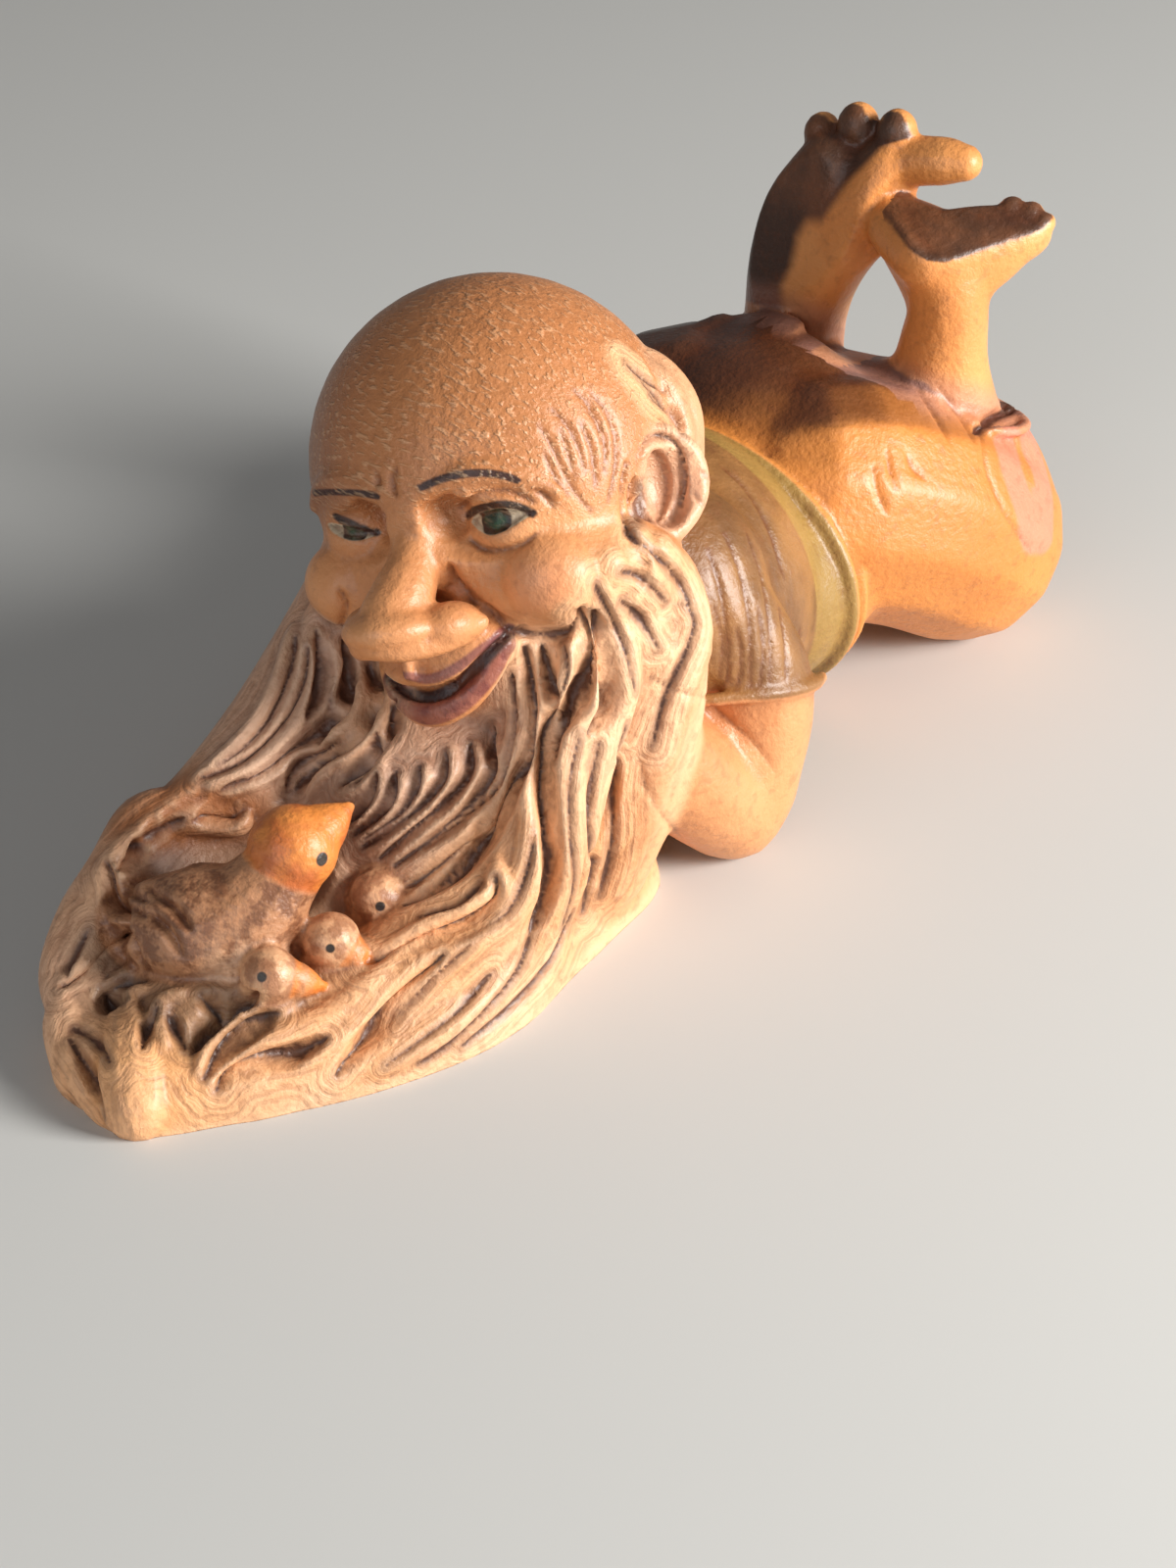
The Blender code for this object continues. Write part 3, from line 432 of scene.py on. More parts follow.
# %% Face
EYE_SPREAD, EYE_HEIGHT, EYE_DEPTH, EYE_RADIUS = 10.2, 0.4, 14.4, 5.6


def face_pieces():
    brow = [(2.2, 22.0, 3.6, 1.4), (5.0, 22.0, 5.2, 1.7), (10.0, 21.0, 6.4, 1.8), (14.5, 18.6, 5.4, 1.5),
            (17.8, 15.8, 3.2, 1.1)]
    pieces = [head_limb(brow), head_limb(mirrored(brow))]
    for side in (1, -1):
        pieces.append(head_ball((FACE_MIDDLE + side * EYE_SPREAD, EYE_DEPTH, EYE_HEIGHT),
                                (EYE_RADIUS,) * 3))
        pieces.append(head_ball((FACE_MIDDLE + side * 13.5, 14.0, -6.4), (6.5, 6.0, 5.6)))
        pieces.append(head_ball((0.6 + side * 5.4, 22.4, -10.8), (3.3, 4.4, 2.7)))
        pieces.append(head_ball((FACE_MIDDLE + side * 2.5, 21.2, 7.4), (2.5, 2.4, 3.0)))
    pieces.append(head_limb([(1.3, 19.4, 3.0, 2.5), (1.2, 21.2, -3.0, 3.0), (0.8, 24.0, -7.0, 3.8),
                             (0.3, 26.4, -9.4, 3.8)]))
    pieces.append(head_ball((0.2, 25.8, -10.6), (6.0, 6.4, 2.9)))
    pieces.append(head_limb([(-5.6, 22.0, -12.0, 1.4), (-3.6, 27.0, -12.4, 1.6), (-0.6, 29.4, -12.0, 1.8),
                             (3.2, 27.6, -12.6, 1.7), (6.6, 23.6, -12.2, 1.5), (8.6, 20.6, -10.9, 1.2)]))
    pieces.append(head_ball((0.8, 15.6, -13.6), (9.6, 6.4, 5.2)))
    return pieces


def mouth_pieces():
    upper_lip = [(10.0, 15.6, -12.2, 0.6), (7.5, 18.3, -14.4, 0.9), (4.7, 19.9, -16.2, 1.1),
                 (1.2, 20.5, -17.2, 1.1), (-2.9, 20.2, -17.0, 1.1), (-6.2, 18.6, -16.0, 0.8),
                 (-8.6, 16.2, -14.6, 0.6)]
    lower_lip = [(9.8, 15.6, -13.2, 0.8), (7.4, 17.0, -16.8, 1.5), (3.8, 18.2, -19.9, 2.1),
                 (-0.6, 18.5, -21.3, 2.2), (-4.6, 17.6, -19.9, 1.9), (-7.8, 16.0, -17.2, 1.2),
                 (-9.0, 15.0, -15.0, 0.7)]
    return [head_limb(upper_lip), head_limb(lower_lip),
            head_limb([(-0.6, 22.6, -14.2, 0.7), (-0.9, 22.2, -16.6, 0.75)], 4)]


def ear_pieces():
    helix = [(20.0, 3.9, 5.0, 0.9), (21.6, 2.0, 7.6, 1.1), (23.8, 0.2, 8.0, 1.1), (25.8, -2.2, 5.2, 1.2),
             (26.2, -2.8, 1.2, 1.2), (25.2, -1.1, -2.2, 1.2), (22.8, 2.0, -4.4, 1.6),
             (21.0, 4.0, -3.4, 1.2)]
    return [head_limb(helix), head_limb(mirrored(helix)),
            head_ball((22.4, 0.2, 1.6), (3.4, 3.8, 6.0)), head_ball((-20.2, 0.2, 1.6), (3.4, 3.8, 6.0))]


FRINGE_ROLLS = [[(16.5, -5, 17, 2.0), (19, -7.5, 14, 2.8), (20.5, -9.5, 9.5, 2.9), (20, -10, 3, 2.8)],
                [(18.6, -3, 16, 1.4), (21, -5.6, 12.5, 2.0), (22, -6.6, 7, 2.0)],
                [(13, -10, 16.5, 2.4), (15, -13, 11, 3.0), (16, -14, 4, 3.0)],
                [(8, -14, 16.5, 2.4), (9, -18, 10, 3.0), (9, -18.5, 3, 3.0)],
                [(2, -16, 16.5, 2.4), (2, -20, 10, 3.0), (2, -20, 3, 3.0)]]
FRINGE = FRINGE_ROLLS + [mirrored(rows) for rows in FRINGE_ROLLS]


def fringe_pieces():
    return [head_limb(rows) for rows in FRINGE]


details += face_pieces() + mouth_pieces() + ear_pieces() + fringe_pieces()
print("pieces with the face:", len(details))

# %% [markdown]
# The mother bird sits in the nest with her beak raised, and three chicks look over the rim.
# The nest is a roll of hair around a hollow, with a blunt lump and a curl at its front.

# %% Birds and nest
MOTHER_BODY = [(-17.5, -55, 12, 2.4), (-13, -54.5, 13.0, 5.6), (-7, -52.8, 13.8, 7.6),
               (-2, -49.6, 16.5, 6.6),
               (0.3, -46, 20.5, 5.0)]
MOTHER_BREAST = (-2.5, -51.0, 13.0)
MOTHER_HEAD = (0.8, -44.2, 23.4)
MOTHER_BEAK = [(1.8, -42.4, 24.2, 4.2), (2.9, -39.6, 25.4, 2.7), (3.7, -37.2, 26.4, 0.8)]
CHICKS = [((6.4, -36.0, 13.8), (2.6, 4.2, -0.3)), ((7.3, -45.8, 13.8), (4.4, 1.5, -2.8)),
          ((5.2, -54.6, 13.4), (4.2, 3.8, -1.9))]


def bird_pieces():
    pieces = [limb(MOTHER_BODY), ball(MOTHER_BREAST, (6.8, 6.5, 7.0)), ball(MOTHER_HEAD, (5.4, 5.4, 5.2)),
              limb(MOTHER_BEAK)]
    for head, beak in CHICKS:
        head, beak = Vector(head), Vector(beak)
        pieces.append(ball(head, (3.5, 3.5, 3.4), segments=16))
        pieces.append(ball(head + Vector((-0.8, 0, -4.4)), (4.4, 4.6, 4.0), segments=16))
        pieces.append(limb([(*(head + beak * 0.3), 2.5), (*(head + beak * 0.7), 1.9),
                            (*(head + beak * 1.05), 0.6)], 4))
    return pieces


def nest_pieces():
    rim = [(-13, -38.5, 18.5, 2.2), (-18, -41.5, 19.3, 3.0), (-22.0, -45.0, 18.3, 3.4),
           (-22.8, -51, 14.5, 2.7),
           (-22.6, -57, 11, 2.7), (-20.5, -63, 7, 2.6), (-15, -67, 5, 2.5)]
    front = [(-7.5, -65, 6, 3.4), (-3.5, -69, 4.5, 4.6), (-1.2, -71.5, 2.5, 4.4)]
    side = [(-16, -62, 7, 1.8), (-16.5, -67, 5, 2.4), (-11, -71.5, 2, 2.6)]
    return [limb(rim), limb(front), limb(side)]


details += bird_pieces() + nest_pieces()
print("pieces with the birds:", len(details))

# %% [markdown]
# The clothes have only a few edges: the rolled hems, the sleeve and the shirt's border. The toes
# are small eggs in a row, and the big toe points away from the others.

# %% Feet and cloth edges
def toe_pieces():
    return [ball((-5.7, 80.2, 66.0), (2.5, 2.8, 2.9), segments=16),
            ball((-0.4, 80.6, 68.2), (2.9, 3.0, 3.3), segments=16),
            ball((5.6, 80.6, 68.8), (2.8, 2.9, 3.2), segments=16),
            limb([(4, 80.2, 64.2, 3.6), (9.5, 80.8, 65.6, 3.4), (13, 81.2, 66.3, 3.2),
                  (15.4, 81.5, 66.6, 2.6)]),
            ball((21.5, 84.4, 60.6), (1.7, 2.0, 1.6), segments=16),
            ball((24.0, 85.2, 60.2), (1.7, 2.0, 1.6), segments=16),
            ball((26.2, 85.0, 59.4), (1.5, 1.9, 1.5), segments=16)]


def ring(points, radius):
    return limb([(*point, radius) for point in points + points[:2]], 5)


def oval(middle_y, middle_z, wide, high, count=24):
    angles = np.linspace(0, 2 * pi, count, endpoint=False)
    return [(wide * cos(a), middle_y, middle_z + high * sin(a)) for a in angles]


def cloth_pieces():
    left_hem = [(11.5, 71.5, 38.5), (17, 69.5, 37.5), (24, 71.5, 35.0), (27.5, 76, 32.5), (27.5, 82, 31),
                (21, 85, 31), (14, 83, 33), (11, 77, 36)]
    right_hem = [(-15.5, 75, 36.5), (-9.5, 71.8, 38.5), (-3, 74, 37.5), (-2, 80, 35), (-8, 84, 33),
                 (-14.5, 81, 34)]
    sleeve = [(22, 3, 26, 0.8), (27, 8, 26, 0.9), (31, 13, 25.5, 0.9), (32.5, 19, 24, 0.9),
              (31, 24, 22, 0.8)]
    return [ring(left_hem, 0.8), ring(right_hem, 0.8), limb(sleeve),
            ring(oval(42.0, 20.5, 24.8, 18.8), 1.0),
            ring(oval(46.0, 19.5, 24.0, 18.6), 0.7)]


details += toe_pieces() + cloth_pieces()
figure = fuse([masses] + details, DETAIL_GRID, 2)
figure.name = "carved_troll"
print("figure:", len(figure.data.polygons), "faces")

# %% [markdown]
# Now the knife strokes. Each pulls the skin in along its normal, deepest on its own line. Where
# two cross, the deeper one counts, so they don't add up to a hole. The normals are those of
# a smoothed copy, so a stroke beside a lock doesn't tear the lock.

# %% Strokes in the beard
CHEEK_STROKES = [
    [(606, 625), (614, 655), (621, 690), (619, 722), (602, 748)],
    [(592, 622), (599, 655), (597, 690), (583, 722), (566, 745), (562, 778)],
    [(553, 660), (558, 690), (561, 722), (552, 760), (552, 800), (560, 845), (565, 885), (557, 920),
     (543, 950)],
    [(537, 662), (541, 700), (537, 740), (531, 775), (511, 812), (495, 850), (470, 883), (440, 905),
     (412, 922)],
    [(505, 895), (505, 918), (482, 939), (445, 951), (405, 962), (375, 981)],
    [(452, 975), (427, 1000), (402, 1030), (375, 1062), (345, 1097)],
    [(332, 1060), (300, 1076), (262, 1085), (236, 1095), (222, 1112)],
    [(282, 1035), (255, 1047), (228, 1070), (209, 1100)],
]
CHIN_STROKES = [
    [(523, 690), (521, 735), (512, 775), (497, 808), (470, 838), (432, 868)],
    [(505, 745), (500, 785), (480, 820), (448, 850), (402, 884)],
    [(480, 757), (478, 788), (456, 818), (425, 845), (388, 876)],
    [(455, 768), (450, 795), (428, 822), (400, 845), (368, 866)],
    [(428, 783), (420, 810), (398, 838), (370, 858)],
    [(403, 788), (397, 815), (378, 838), (360, 852)],
    [(384, 790), (374, 815), (358, 838)],
    [(497, 842), (470, 865), (440, 888), (415, 905)],
    [(480, 868), (455, 890), (430, 908)],
    [(385, 745), (376, 775), (358, 802)],
]
FAR_STROKES = [
    [(323, 645), (330, 680), (326, 712), (314, 734)],
    [(351, 655), (356, 690), (350, 720), (328, 742), (303, 766), (268, 792), (228, 806)],
    [(376, 680), (385, 705), (377, 732), (355, 756), (325, 778), (303, 803)],
    [(403, 715), (398, 745), (372, 776), (350, 800)],
    [(313, 660), (310, 690), (298, 725), (273, 757), (243, 777), (205, 793)],
    [(300, 650), (292, 690), (275, 730), (250, 758), (220, 780)],
    [(340, 758), (312, 778), (293, 803)],
]
FINE_STROKES = [
    [(608, 597), (618, 620), (632, 648), (642, 672), (650, 707)],
    [(633, 613), (655, 633), (673, 662)],
    [(633, 583), (655, 590), (680, 614)],
    [(700, 615), (710, 635), (703, 662), (688, 693), (677, 717), (666, 762)],
    [(650, 550), (667, 563), (693, 592), (706, 620)],
    [(543, 950), (530, 990), (500, 1030), (465, 1062), (430, 1085)],
    [(585, 930), (560, 985), (520, 1030), (470, 1070)],
    [(592, 750), (583, 800), (583, 850), (588, 900), (575, 945)],
    [(612, 760), (602, 820), (605, 880), (595, 930)],
    [(640, 740), (625, 800), (625, 860), (612, 915)],
    [(530, 690), (528, 730), (520, 775), (503, 812)],
    [(548, 745), (545, 790), (548, 830), (540, 880), (520, 930), (470, 962)],
    [(575, 655), (577, 690), (566, 718)],
    [(480, 965), (455, 990), (430, 1015), (400, 1045)],
    [(500, 995), (470, 1030), (430, 1062), (395, 1088)],
    [(490, 905), (465, 922), (430, 935)],
    [(663, 403), (687, 423), (697, 443)],
    [(640, 372), (660, 386), (682, 402)],
    [(652, 385), (675, 408), (686, 428)],
    [(340, 700), (333, 730), (310, 755), (283, 782)],
    [(290, 705), (270, 745), (245, 768)],
    [(90, 950), (72, 980), (58, 1010)],
    [(75, 1050), (95, 1060), (112, 1085)],
    [(490, 800), (465, 832), (425, 862)],
    [(466, 800), (440, 832), (405, 858)],
]
print("strokes in the beard:", len(CHEEK_STROKES + CHIN_STROKES + FAR_STROKES + FINE_STROKES))

# %% [markdown]
# Away from the beard the strokes are shallower and shorter: thin locks at the temple, creases of the
# sleeve, the weave-like scratches of the shirt, the feathers and the folds of the smiling face. On the
# side that the photograph doesn't show, a few strokes are planned in the room instead.

# %% Strokes on the head, clothes and nest
TEMPLE_STROKES = [
    [(563, 418), (578, 432), (590, 455), (597, 480)],
    [(556, 462), (566, 484), (580, 504)],
    [(596, 415), (611, 432), (618, 455), (617, 482)],
    [(549, 432), (562, 452), (574, 478), (588, 503), (604, 522)],
    [(573, 440), (580, 462), (587, 485)],
    [(592, 430), (602, 452), (607, 476), (608, 500)],
    [(604, 402), (619, 420), (628, 446), (628, 478), (620, 512)],
    [(585, 398), (600, 412), (610, 432), (614, 450)],
]
BODY_STROKES = [
    [(655, 783), (659, 803), (678, 833), (700, 862)],
    [(722, 716), (745, 737), (770, 760), (792, 788)],
    [(905, 458), (909, 480), (917, 503)],
    [(890, 475), (896, 502), (906, 526)],
    [(925, 462), (933, 478), (945, 490)],
    [(935, 395), (955, 425), (972, 455)],
    [(955, 392), (980, 425), (995, 452)],
    [(1000, 440), (1010, 487), (1030, 530), (1052, 562)],
    [(662, 690), (690, 705), (725, 712)],
]
CUFF_STROKES = [
    [(994, 442), (1018, 425), (1040, 416), (1056, 420)],
    [(1022, 413), (1040, 413), (1054, 422)],
]
SHIRT_STROKES = [
    [(722, 560), (735, 600), (742, 645), (742, 695)],
    [(740, 545), (756, 585), (765, 635), (766, 700)],
    [(762, 545), (778, 590), (786, 640), (786, 700)],
    [(730, 620), (738, 655), (735, 690)],
    [(752, 640), (757, 670), (752, 705)],
    [(774, 620), (780, 660), (776, 700)],
    [(715, 480), (740, 505), (765, 540)],
    [(735, 475), (762, 500), (785, 540), (800, 590)],
    [(705, 500), (725, 525), (745, 560)],
    [(795, 620), (802, 655), (803, 695)],
    [(816, 640), (820, 670), (818, 697)],
]
NEST_STROKES = [
    [(70, 1060), (87, 1087), (99, 1113), (106, 1140)],
    [(118, 903), (133, 910), (152, 920)],
    [(117, 917), (133, 925), (148, 936)],
    [(125, 945), (135, 965), (143, 985)],
    [(103, 1010), (125, 1003), (150, 1000)],
    [(160, 1025), (150, 1045), (145, 1070)],
    [(190, 1072), (180, 1050), (172, 1035)],
    [(187, 835), (170, 845), (140, 862), (110, 880)],
    [(150, 905), (175, 925), (195, 950)],
    [(150, 930), (170, 950), (185, 975)],
]
FACE_STROKES = [
    [(480, 551), (494, 561), (512, 562), (532, 556), (548, 545)],
    [(487, 610), (506, 631), (522, 645)],
    [(404, 478), (400, 492), (404, 506)],
    [(384, 482), (386, 500)],
    [(470, 517), (490, 505), (517, 502), (545, 512)],
    [(455, 600), (468, 597), (486, 610)],
    [(545, 500), (556, 506), (565, 517)],
]
CHEEK_EDGES = [
    [(497, 617), (520, 641), (547, 650), (580, 645), (602, 622)],
    [(458, 575), (466, 598), (490, 618)],
    [(345, 600), (352, 622), (349, 640)],
]
DEEP_NEST_STROKES = [
    [(107, 880), (117, 915), (121, 945), (112, 965), (85, 990), (60, 1005)],
    [(103, 1008), (113, 1022), (125, 1020)],
    [(262, 1015), (235, 1028), (207, 1050), (196, 1072)],
    [(205, 1015), (220, 1028), (215, 1045)],
    [(150, 862), (135, 872), (118, 885)],
    [(200, 838), (225, 832), (250, 826)],
]
HIDDEN_STROKES = [
    [(-20, -2, 42), (-24, -12, 34), (-25, -24, 24), (-26, -36, 16), (-25, -48, 10), (-22, -60, 5)],
    [(-21, -2, 36), (-24, -12, 28), (-24, -24, 19), (-26, -36, 11), (-25, -48, 6)],
    [(-21, -2, 29), (-23, -12, 21), (-24, -24, 13), (-26, -36, 6)],
    [(-21, -3, 22), (-23, -12, 15), (-24, -22, 8)],
    [(-18, -6, 46), (-22, -16, 37), (-24, -28, 28), (-24, -40, 20)],
    [(-20, -3, 14), (-23, -12, 8), (-24, -20, 4)],
]


elsewhere = TEMPLE_STROKES, BODY_STROKES, SHIRT_STROKES, NEST_STROKES, FACE_STROKES
print("strokes elsewhere:", sum(len(strokes) for strokes in elsewhere))

# %% [markdown]
# Each row of the table below pairs a set of strokes with the knife that cuts it: half its width and its
# depth in millimetres, and how sharp the valley is. A broad and deep cut reads as a shadow between
# two locks, a thin one as a hair.

# %% Cutting
FAR_AWAY = 99.0


def stroke_field(rows, spots, half):
    # Each spot's way to the stroke in millimetres, and the stroke's width there.
    way = np.full(len(spots), FAR_AWAY)
    width = np.ones(len(spots))
    along = np.linspace(0, 1, len(rows))
    wide = half * (0.3 + 0.7 * np.sin(pi * along) ** 0.6)
    reach = 5.0
    near = np.where(((spots > rows.min(0) - reach) & (spots < rows.max(0) + reach)).all(1))[0]
    for a, b, wa, wb in zip(rows[:-1], rows[1:], wide[:-1], wide[1:]):
        run = b - a
        off = spots[near] - a
        t = np.clip((off @ run) / (run @ run + 1e-9), 0, 1)
        gap = np.linalg.norm(off - t[:, None] * run, axis=1)
        closer = gap < way[near]
        chosen = near[closer]
        way[chosen] = gap[closer]
        width[chosen] = (wa + (wb - wa) * t)[closer]
    return way, width


def space_route(points, skin, steps=6):
    # A stroke given by places in the room, each moved to the nearest skin.
    rows = smooth_route(points, steps)
    return np.array([np.array(skin.find_nearest(Vector(row) * MM)[0]) / MM for row in rows])


def smooth_normals(thing, rounds):
    copy = thing.copy()
    copy.data = thing.data.copy()
    bpy.context.scene.collection.objects.link(copy)
    rub = copy.modifiers.new("rub", "SMOOTH")
    rub.factor = 0.5
    rub.iterations = rounds
    apply_all(copy)
    normals = np.array([vertex.normal for vertex in copy.data.vertices])
    places = spots_of(copy)
    bpy.data.objects.remove(copy)
    return normals, places


outside = skin_of(figure)
spots = spots_of(figure)
normals, _ = smooth_normals(figure, 12)
sunk = np.zeros(len(spots))
hair_routes = []
fine_routes = []
CUTS = (
    (CHEEK_STROKES, 2.4, 2.9, 1.5),
    (CHIN_STROKES, 1.3, 1.7, 1.3),
    (FAR_STROKES, 1.9, 2.2, 1.4),
    (FINE_STROKES, 1.1, 0.75, 1.5),
    (TEMPLE_STROKES, 0.75, 0.45, 1.3),
    (BODY_STROKES, 1.1, 0.4, 1.5),
    (SHIRT_STROKES, 0.9, 0.4, 1.5),
    (CUFF_STROKES, 1.5, 1.5, 1.5),
    (NEST_STROKES, 1.4, 1.2, 1.5),
    (DEEP_NEST_STROKES, 2.4, 3.2, 1.3),
    (FACE_STROKES, 1.1, 0.7, 1.8),
    (CHEEK_EDGES, 1.8, 1.2, 1.8),
    (HIDDEN_STROKES, 2.2, 2.0, 1.5),
)
# The fine sets are painted as scratches, the unpainted ones keep the colour around them.
FINE_SETS = (TEMPLE_STROKES, SHIRT_STROKES, FACE_STROKES)
UNPAINTED_SETS = (CHEEK_EDGES, CUFF_STROKES, BODY_STROKES)
for strokes, half, depth, sharpness in CUTS:
    for places in strokes:
        rows = space_route(places, outside) if strokes is HIDDEN_STROKES else seen_route(places, outside)
        way, width = stroke_field(rows, spots, half)
        cut = depth * np.clip(1 - way / width, 0, 1) ** sharpness * (width / half)
        sunk = np.maximum(sunk, cut) + 0.3 * np.minimum(sunk, cut)
        if strokes in FINE_SETS:
            fine_routes.append(rows)
        elif strokes not in UNPAINTED_SETS:
            hair_routes.append(rows)
spots -= normals * sunk[:, None]
move_to(figure, spots)
print("cut:", len(hair_routes), "in the hair and", len(fine_routes), "fine ones, deepest",
      sunk.max().round(2), "mm")

# %% [markdown]
# The lids are cut open: inside an almond outline the closed ball is pushed back by the
# thickness of a lid. The mouth is one deep slit under the upper lip.

# %% Eyes and mouth
UPPER_LID = [(7.3, 0.5), (9.2, 1.5), (12.2, 2.0), (14.5, 1.7), (15.8, 1.0)]
LOWER_LID = [(7.3, 0.5), (8.6, -0.4), (10.8, -1.1), (13.2, -0.5), (15.8, 1.0)]
FAR_UPPER_LID = [(4.8, -0.2), (7.0, 0.5), (9.3, 1.0), (11.4, 1.3), (12.8, 1.1)]
FAR_LOWER_LID = [(4.8, -0.2), (7.0, -0.9), (9.0, -0.8), (11.2, 0.1), (12.8, 1.1)]
LID_THICKNESS = 0.8
FACE_START, SHUT = 12.0, -9.0
MOUTH_HALF_WIDTH, MOUTH_DEPTH = 1.4, 1.3
MOUTH_SLIT = [(523, 643), (505, 661), (484, 683), (461, 703), (438, 711), (412, 707), (398, 693)]


def head_places(spots):
    # Left, front and up on the head for rows of drawn places.
    own = (spots - np.array(HEAD_PIVOT)) @ np.array(HEAD_SPIN)
    return own[:, 0], -own[:, 1], own[:, 2]


def opening(spots, upper, lower, side):
    # Millimetres inside the almond between two lid lines; below zero is outside it.
    left, front, up = head_places(spots)
    across = left * side
    top = smooth_route(upper, 6)
    low = smooth_route(lower, 6)
    below_top = np.interp(across, top[:, 0], top[:, 1]) - up
    above_low = up - np.interp(across, low[:, 0], low[:, 1])
    inside = np.minimum(below_top, above_low)
    inside = np.minimum(inside, np.minimum(across - top[0, 0], top[-1, 0] - across) + 0.3)
    return np.where(front > FACE_START, inside, SHUT)


def ease(low, high, values):
    t = np.clip((values - low) / (high - low), 0, 1)
    return t * t * (3 - 2 * t)


spots = spots_of(figure)
lids = ((UPPER_LID, LOWER_LID, 1), (FAR_UPPER_LID, FAR_LOWER_LID, -1))
for upper, lower, side in lids:
    centre = np.array(on_head(FACE_MIDDLE + side * EYE_SPREAD, EYE_DEPTH, EYE_HEIGHT))
    on_ball = np.abs(np.linalg.norm(spots - centre, axis=1) - EYE_RADIUS) < 1.2
    push = LID_THICKNESS * ease(-0.05, 0.4, opening(spots, upper, lower, side)) * on_ball
    spots += np.array(BACKWARD) * push[:, None]
normals, _ = smooth_normals(figure, 6)
way, width = stroke_field(seen_route(MOUTH_SLIT, outside), spots, MOUTH_HALF_WIDTH)
spots -= normals * (MOUTH_DEPTH * np.clip(1 - way / width, 0, 1) ** 1.5)[:, None]
move_to(figure, spots)
print("eyes opened, mouth cut", MOUTH_DEPTH, "mm deep")

# %% [markdown]
# An ear is a bowl with a rolled rim, and it stands out from the head at an angle. So its bowl is pressed
# in backwards and inwards. Inside the near ear, which the light shows well, a fold runs round the bowl,
# and the bowl is deepest low at the front.

# %% Ears
EAR_BOWLS = ((23.2, 1.7, 1.7, (3.3, 3.3, 4.9)), (21.1, 3.5, -0.2, (1.8, 1.8, 3.0)))
for side in (1, -1):
    inward = tuple(HEAD_SPIN @ Vector((-0.72 * side, 0.69, 0)))
    for spread, ahead, up, radii in EAR_BOWLS:
        gouge(figure, on_head(FACE_MIDDLE + side * spread, ahead, up), radii, inward, HEAD_ANGLES)
# Routes in the photograph with half width and depth. A depth below zero raises a fold.
EAR_RELIEF = (([(652, 468), (664, 454), (681, 462), (689, 488), (685, 515), (675, 535)], 1.1, -0.7),
              ([(648, 490), (648, 512), (652, 530)], 1.9, 1.3),
              ([(655, 456), (668, 444), (688, 452), (698, 482), (694, 518)], 0.8, 0.7),
              ([(640, 470), (636, 500), (640, 540), (652, 556)], 0.9, 0.7))
ear_skin = skin_of(figure)
spots = spots_of(figure)
normals, _ = smooth_normals(figure, 4)
for places, half, depth in EAR_RELIEF:
    way, width = stroke_field(seen_route(places, ear_skin), spots, half)
    spots -= normals * (depth * np.clip(1 - way / width, 0, 1) ** 1.3)[:, None]
move_to(figure, spots)
print("ears hollowed, with", len(EAR_RELIEF), "folds and cuts")

# %% [markdown]
# The sculpture is thinned where it is smooth, cut flat at the ground, and set on the place
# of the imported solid. It may be no larger than the solid, so each side is compared and a hair
# too much is taken off by scaling.

# %% Set on the solid
thin = figure.modifiers.new("thin", "DECIMATE")
thin.ratio = min(1.0, TRIANGLES / (2 * len(figure.data.polygons)))
apply_all(figure)
bpy.ops.object.mode_set(mode="EDIT")
bpy.ops.mesh.select_all(action="SELECT")
bpy.ops.mesh.bisect(plane_co=(0, 0, 0), plane_no=(0, 0, 1), use_fill=True, clear_inner=True,
                    threshold=0.000001)
bpy.ops.mesh.select_all(action="SELECT")
bpy.ops.mesh.quads_convert_to_tris()
bpy.ops.object.mode_set(mode="OBJECT")
spots = spots_of(figure)
low, high = spots.min(0), spots.max(0)
solid_low, solid_high = np.array(SOLID_LOW) / MM, np.array(SOLID_HIGH) / MM
fit = np.minimum(1.0, (solid_high - solid_low) / (high - low))
middle = np.array([(low[0] + high[0]) / 2, (low[1] + high[1]) / 2, 0.0])
solid_middle = np.array([(solid_low[0] + solid_high[0]) / 2, (solid_low[1] + solid_high[1]) / 2,
                         solid_low[2]])


def on_solid(places):
    return (np.asarray(places, dtype=float) - middle) * fit + solid_middle


print("fit:", fit.round(4), "moved by", (solid_middle - middle).round(3), "triangles:",
      len(figure.data.polygons))

# %% [markdown]
# A painter works in areas: skin, hair, shirt, trousers, birds. Each area is written on the
# finished surface as an attribute, a number at every vertex, and the material reads it. Where a
# painted edge has to be crisp, the number is a distance in millimetres, which stays exact
# between two vertices.

# %% Ways to measure on the skin
LINE_REACH, HAIR_REACH = 5.0, 9.0
skin = skin_of(figure)


def away(spots, rows):
    # Distance to rows of x, y, z and radius, less the radius: negative inside the roll.
    out = np.full(len(spots), FAR_AWAY)
    for a, b in zip(rows[:-1], rows[1:]):
        run = b[:3] - a[:3]
        off = spots - a[:3]
        t = np.clip((off @ run) / (run @ run + 1e-9), 0, 1)
        radius = a[3] + (b[3] - a[3]) * t
        out = np.minimum(out, np.linalg.norm(off - t[:, None] * run, axis=1) - radius)
    return out


def way_to(routes, limit=LINE_REACH):
    out = np.full(len(spots), limit)
    for rows in routes:
        out = np.minimum(out, stroke_field(rows, spots, 1.0)[0])
    return out


def write(name, values):
    field = figure.data.attributes.new(name, "FLOAT", "POINT")
    field.data.foreach_set("value", np.asarray(values, dtype=np.float32))


def on_sheet(spots):
    # Where drawn places are seen in the photograph: x to the right and y down.
    off = spots - np.array(VIEWPOINT)
    far = off @ np.array(VIEW_AHEAD)
    return (PHOTO_WIDTH / 2 + off @ np.array(VIEW_RIGHT) / far / PITCH,
            PHOTO_HEIGHT / 2 - off @ np.array(VIEW_UP) / far / PITCH)


def round_gap(centre, radius):
    return np.linalg.norm(spots - np.array(centre), axis=1) - radius


def rows_gap(points):
    return away(spots, smooth_route(points, 3))


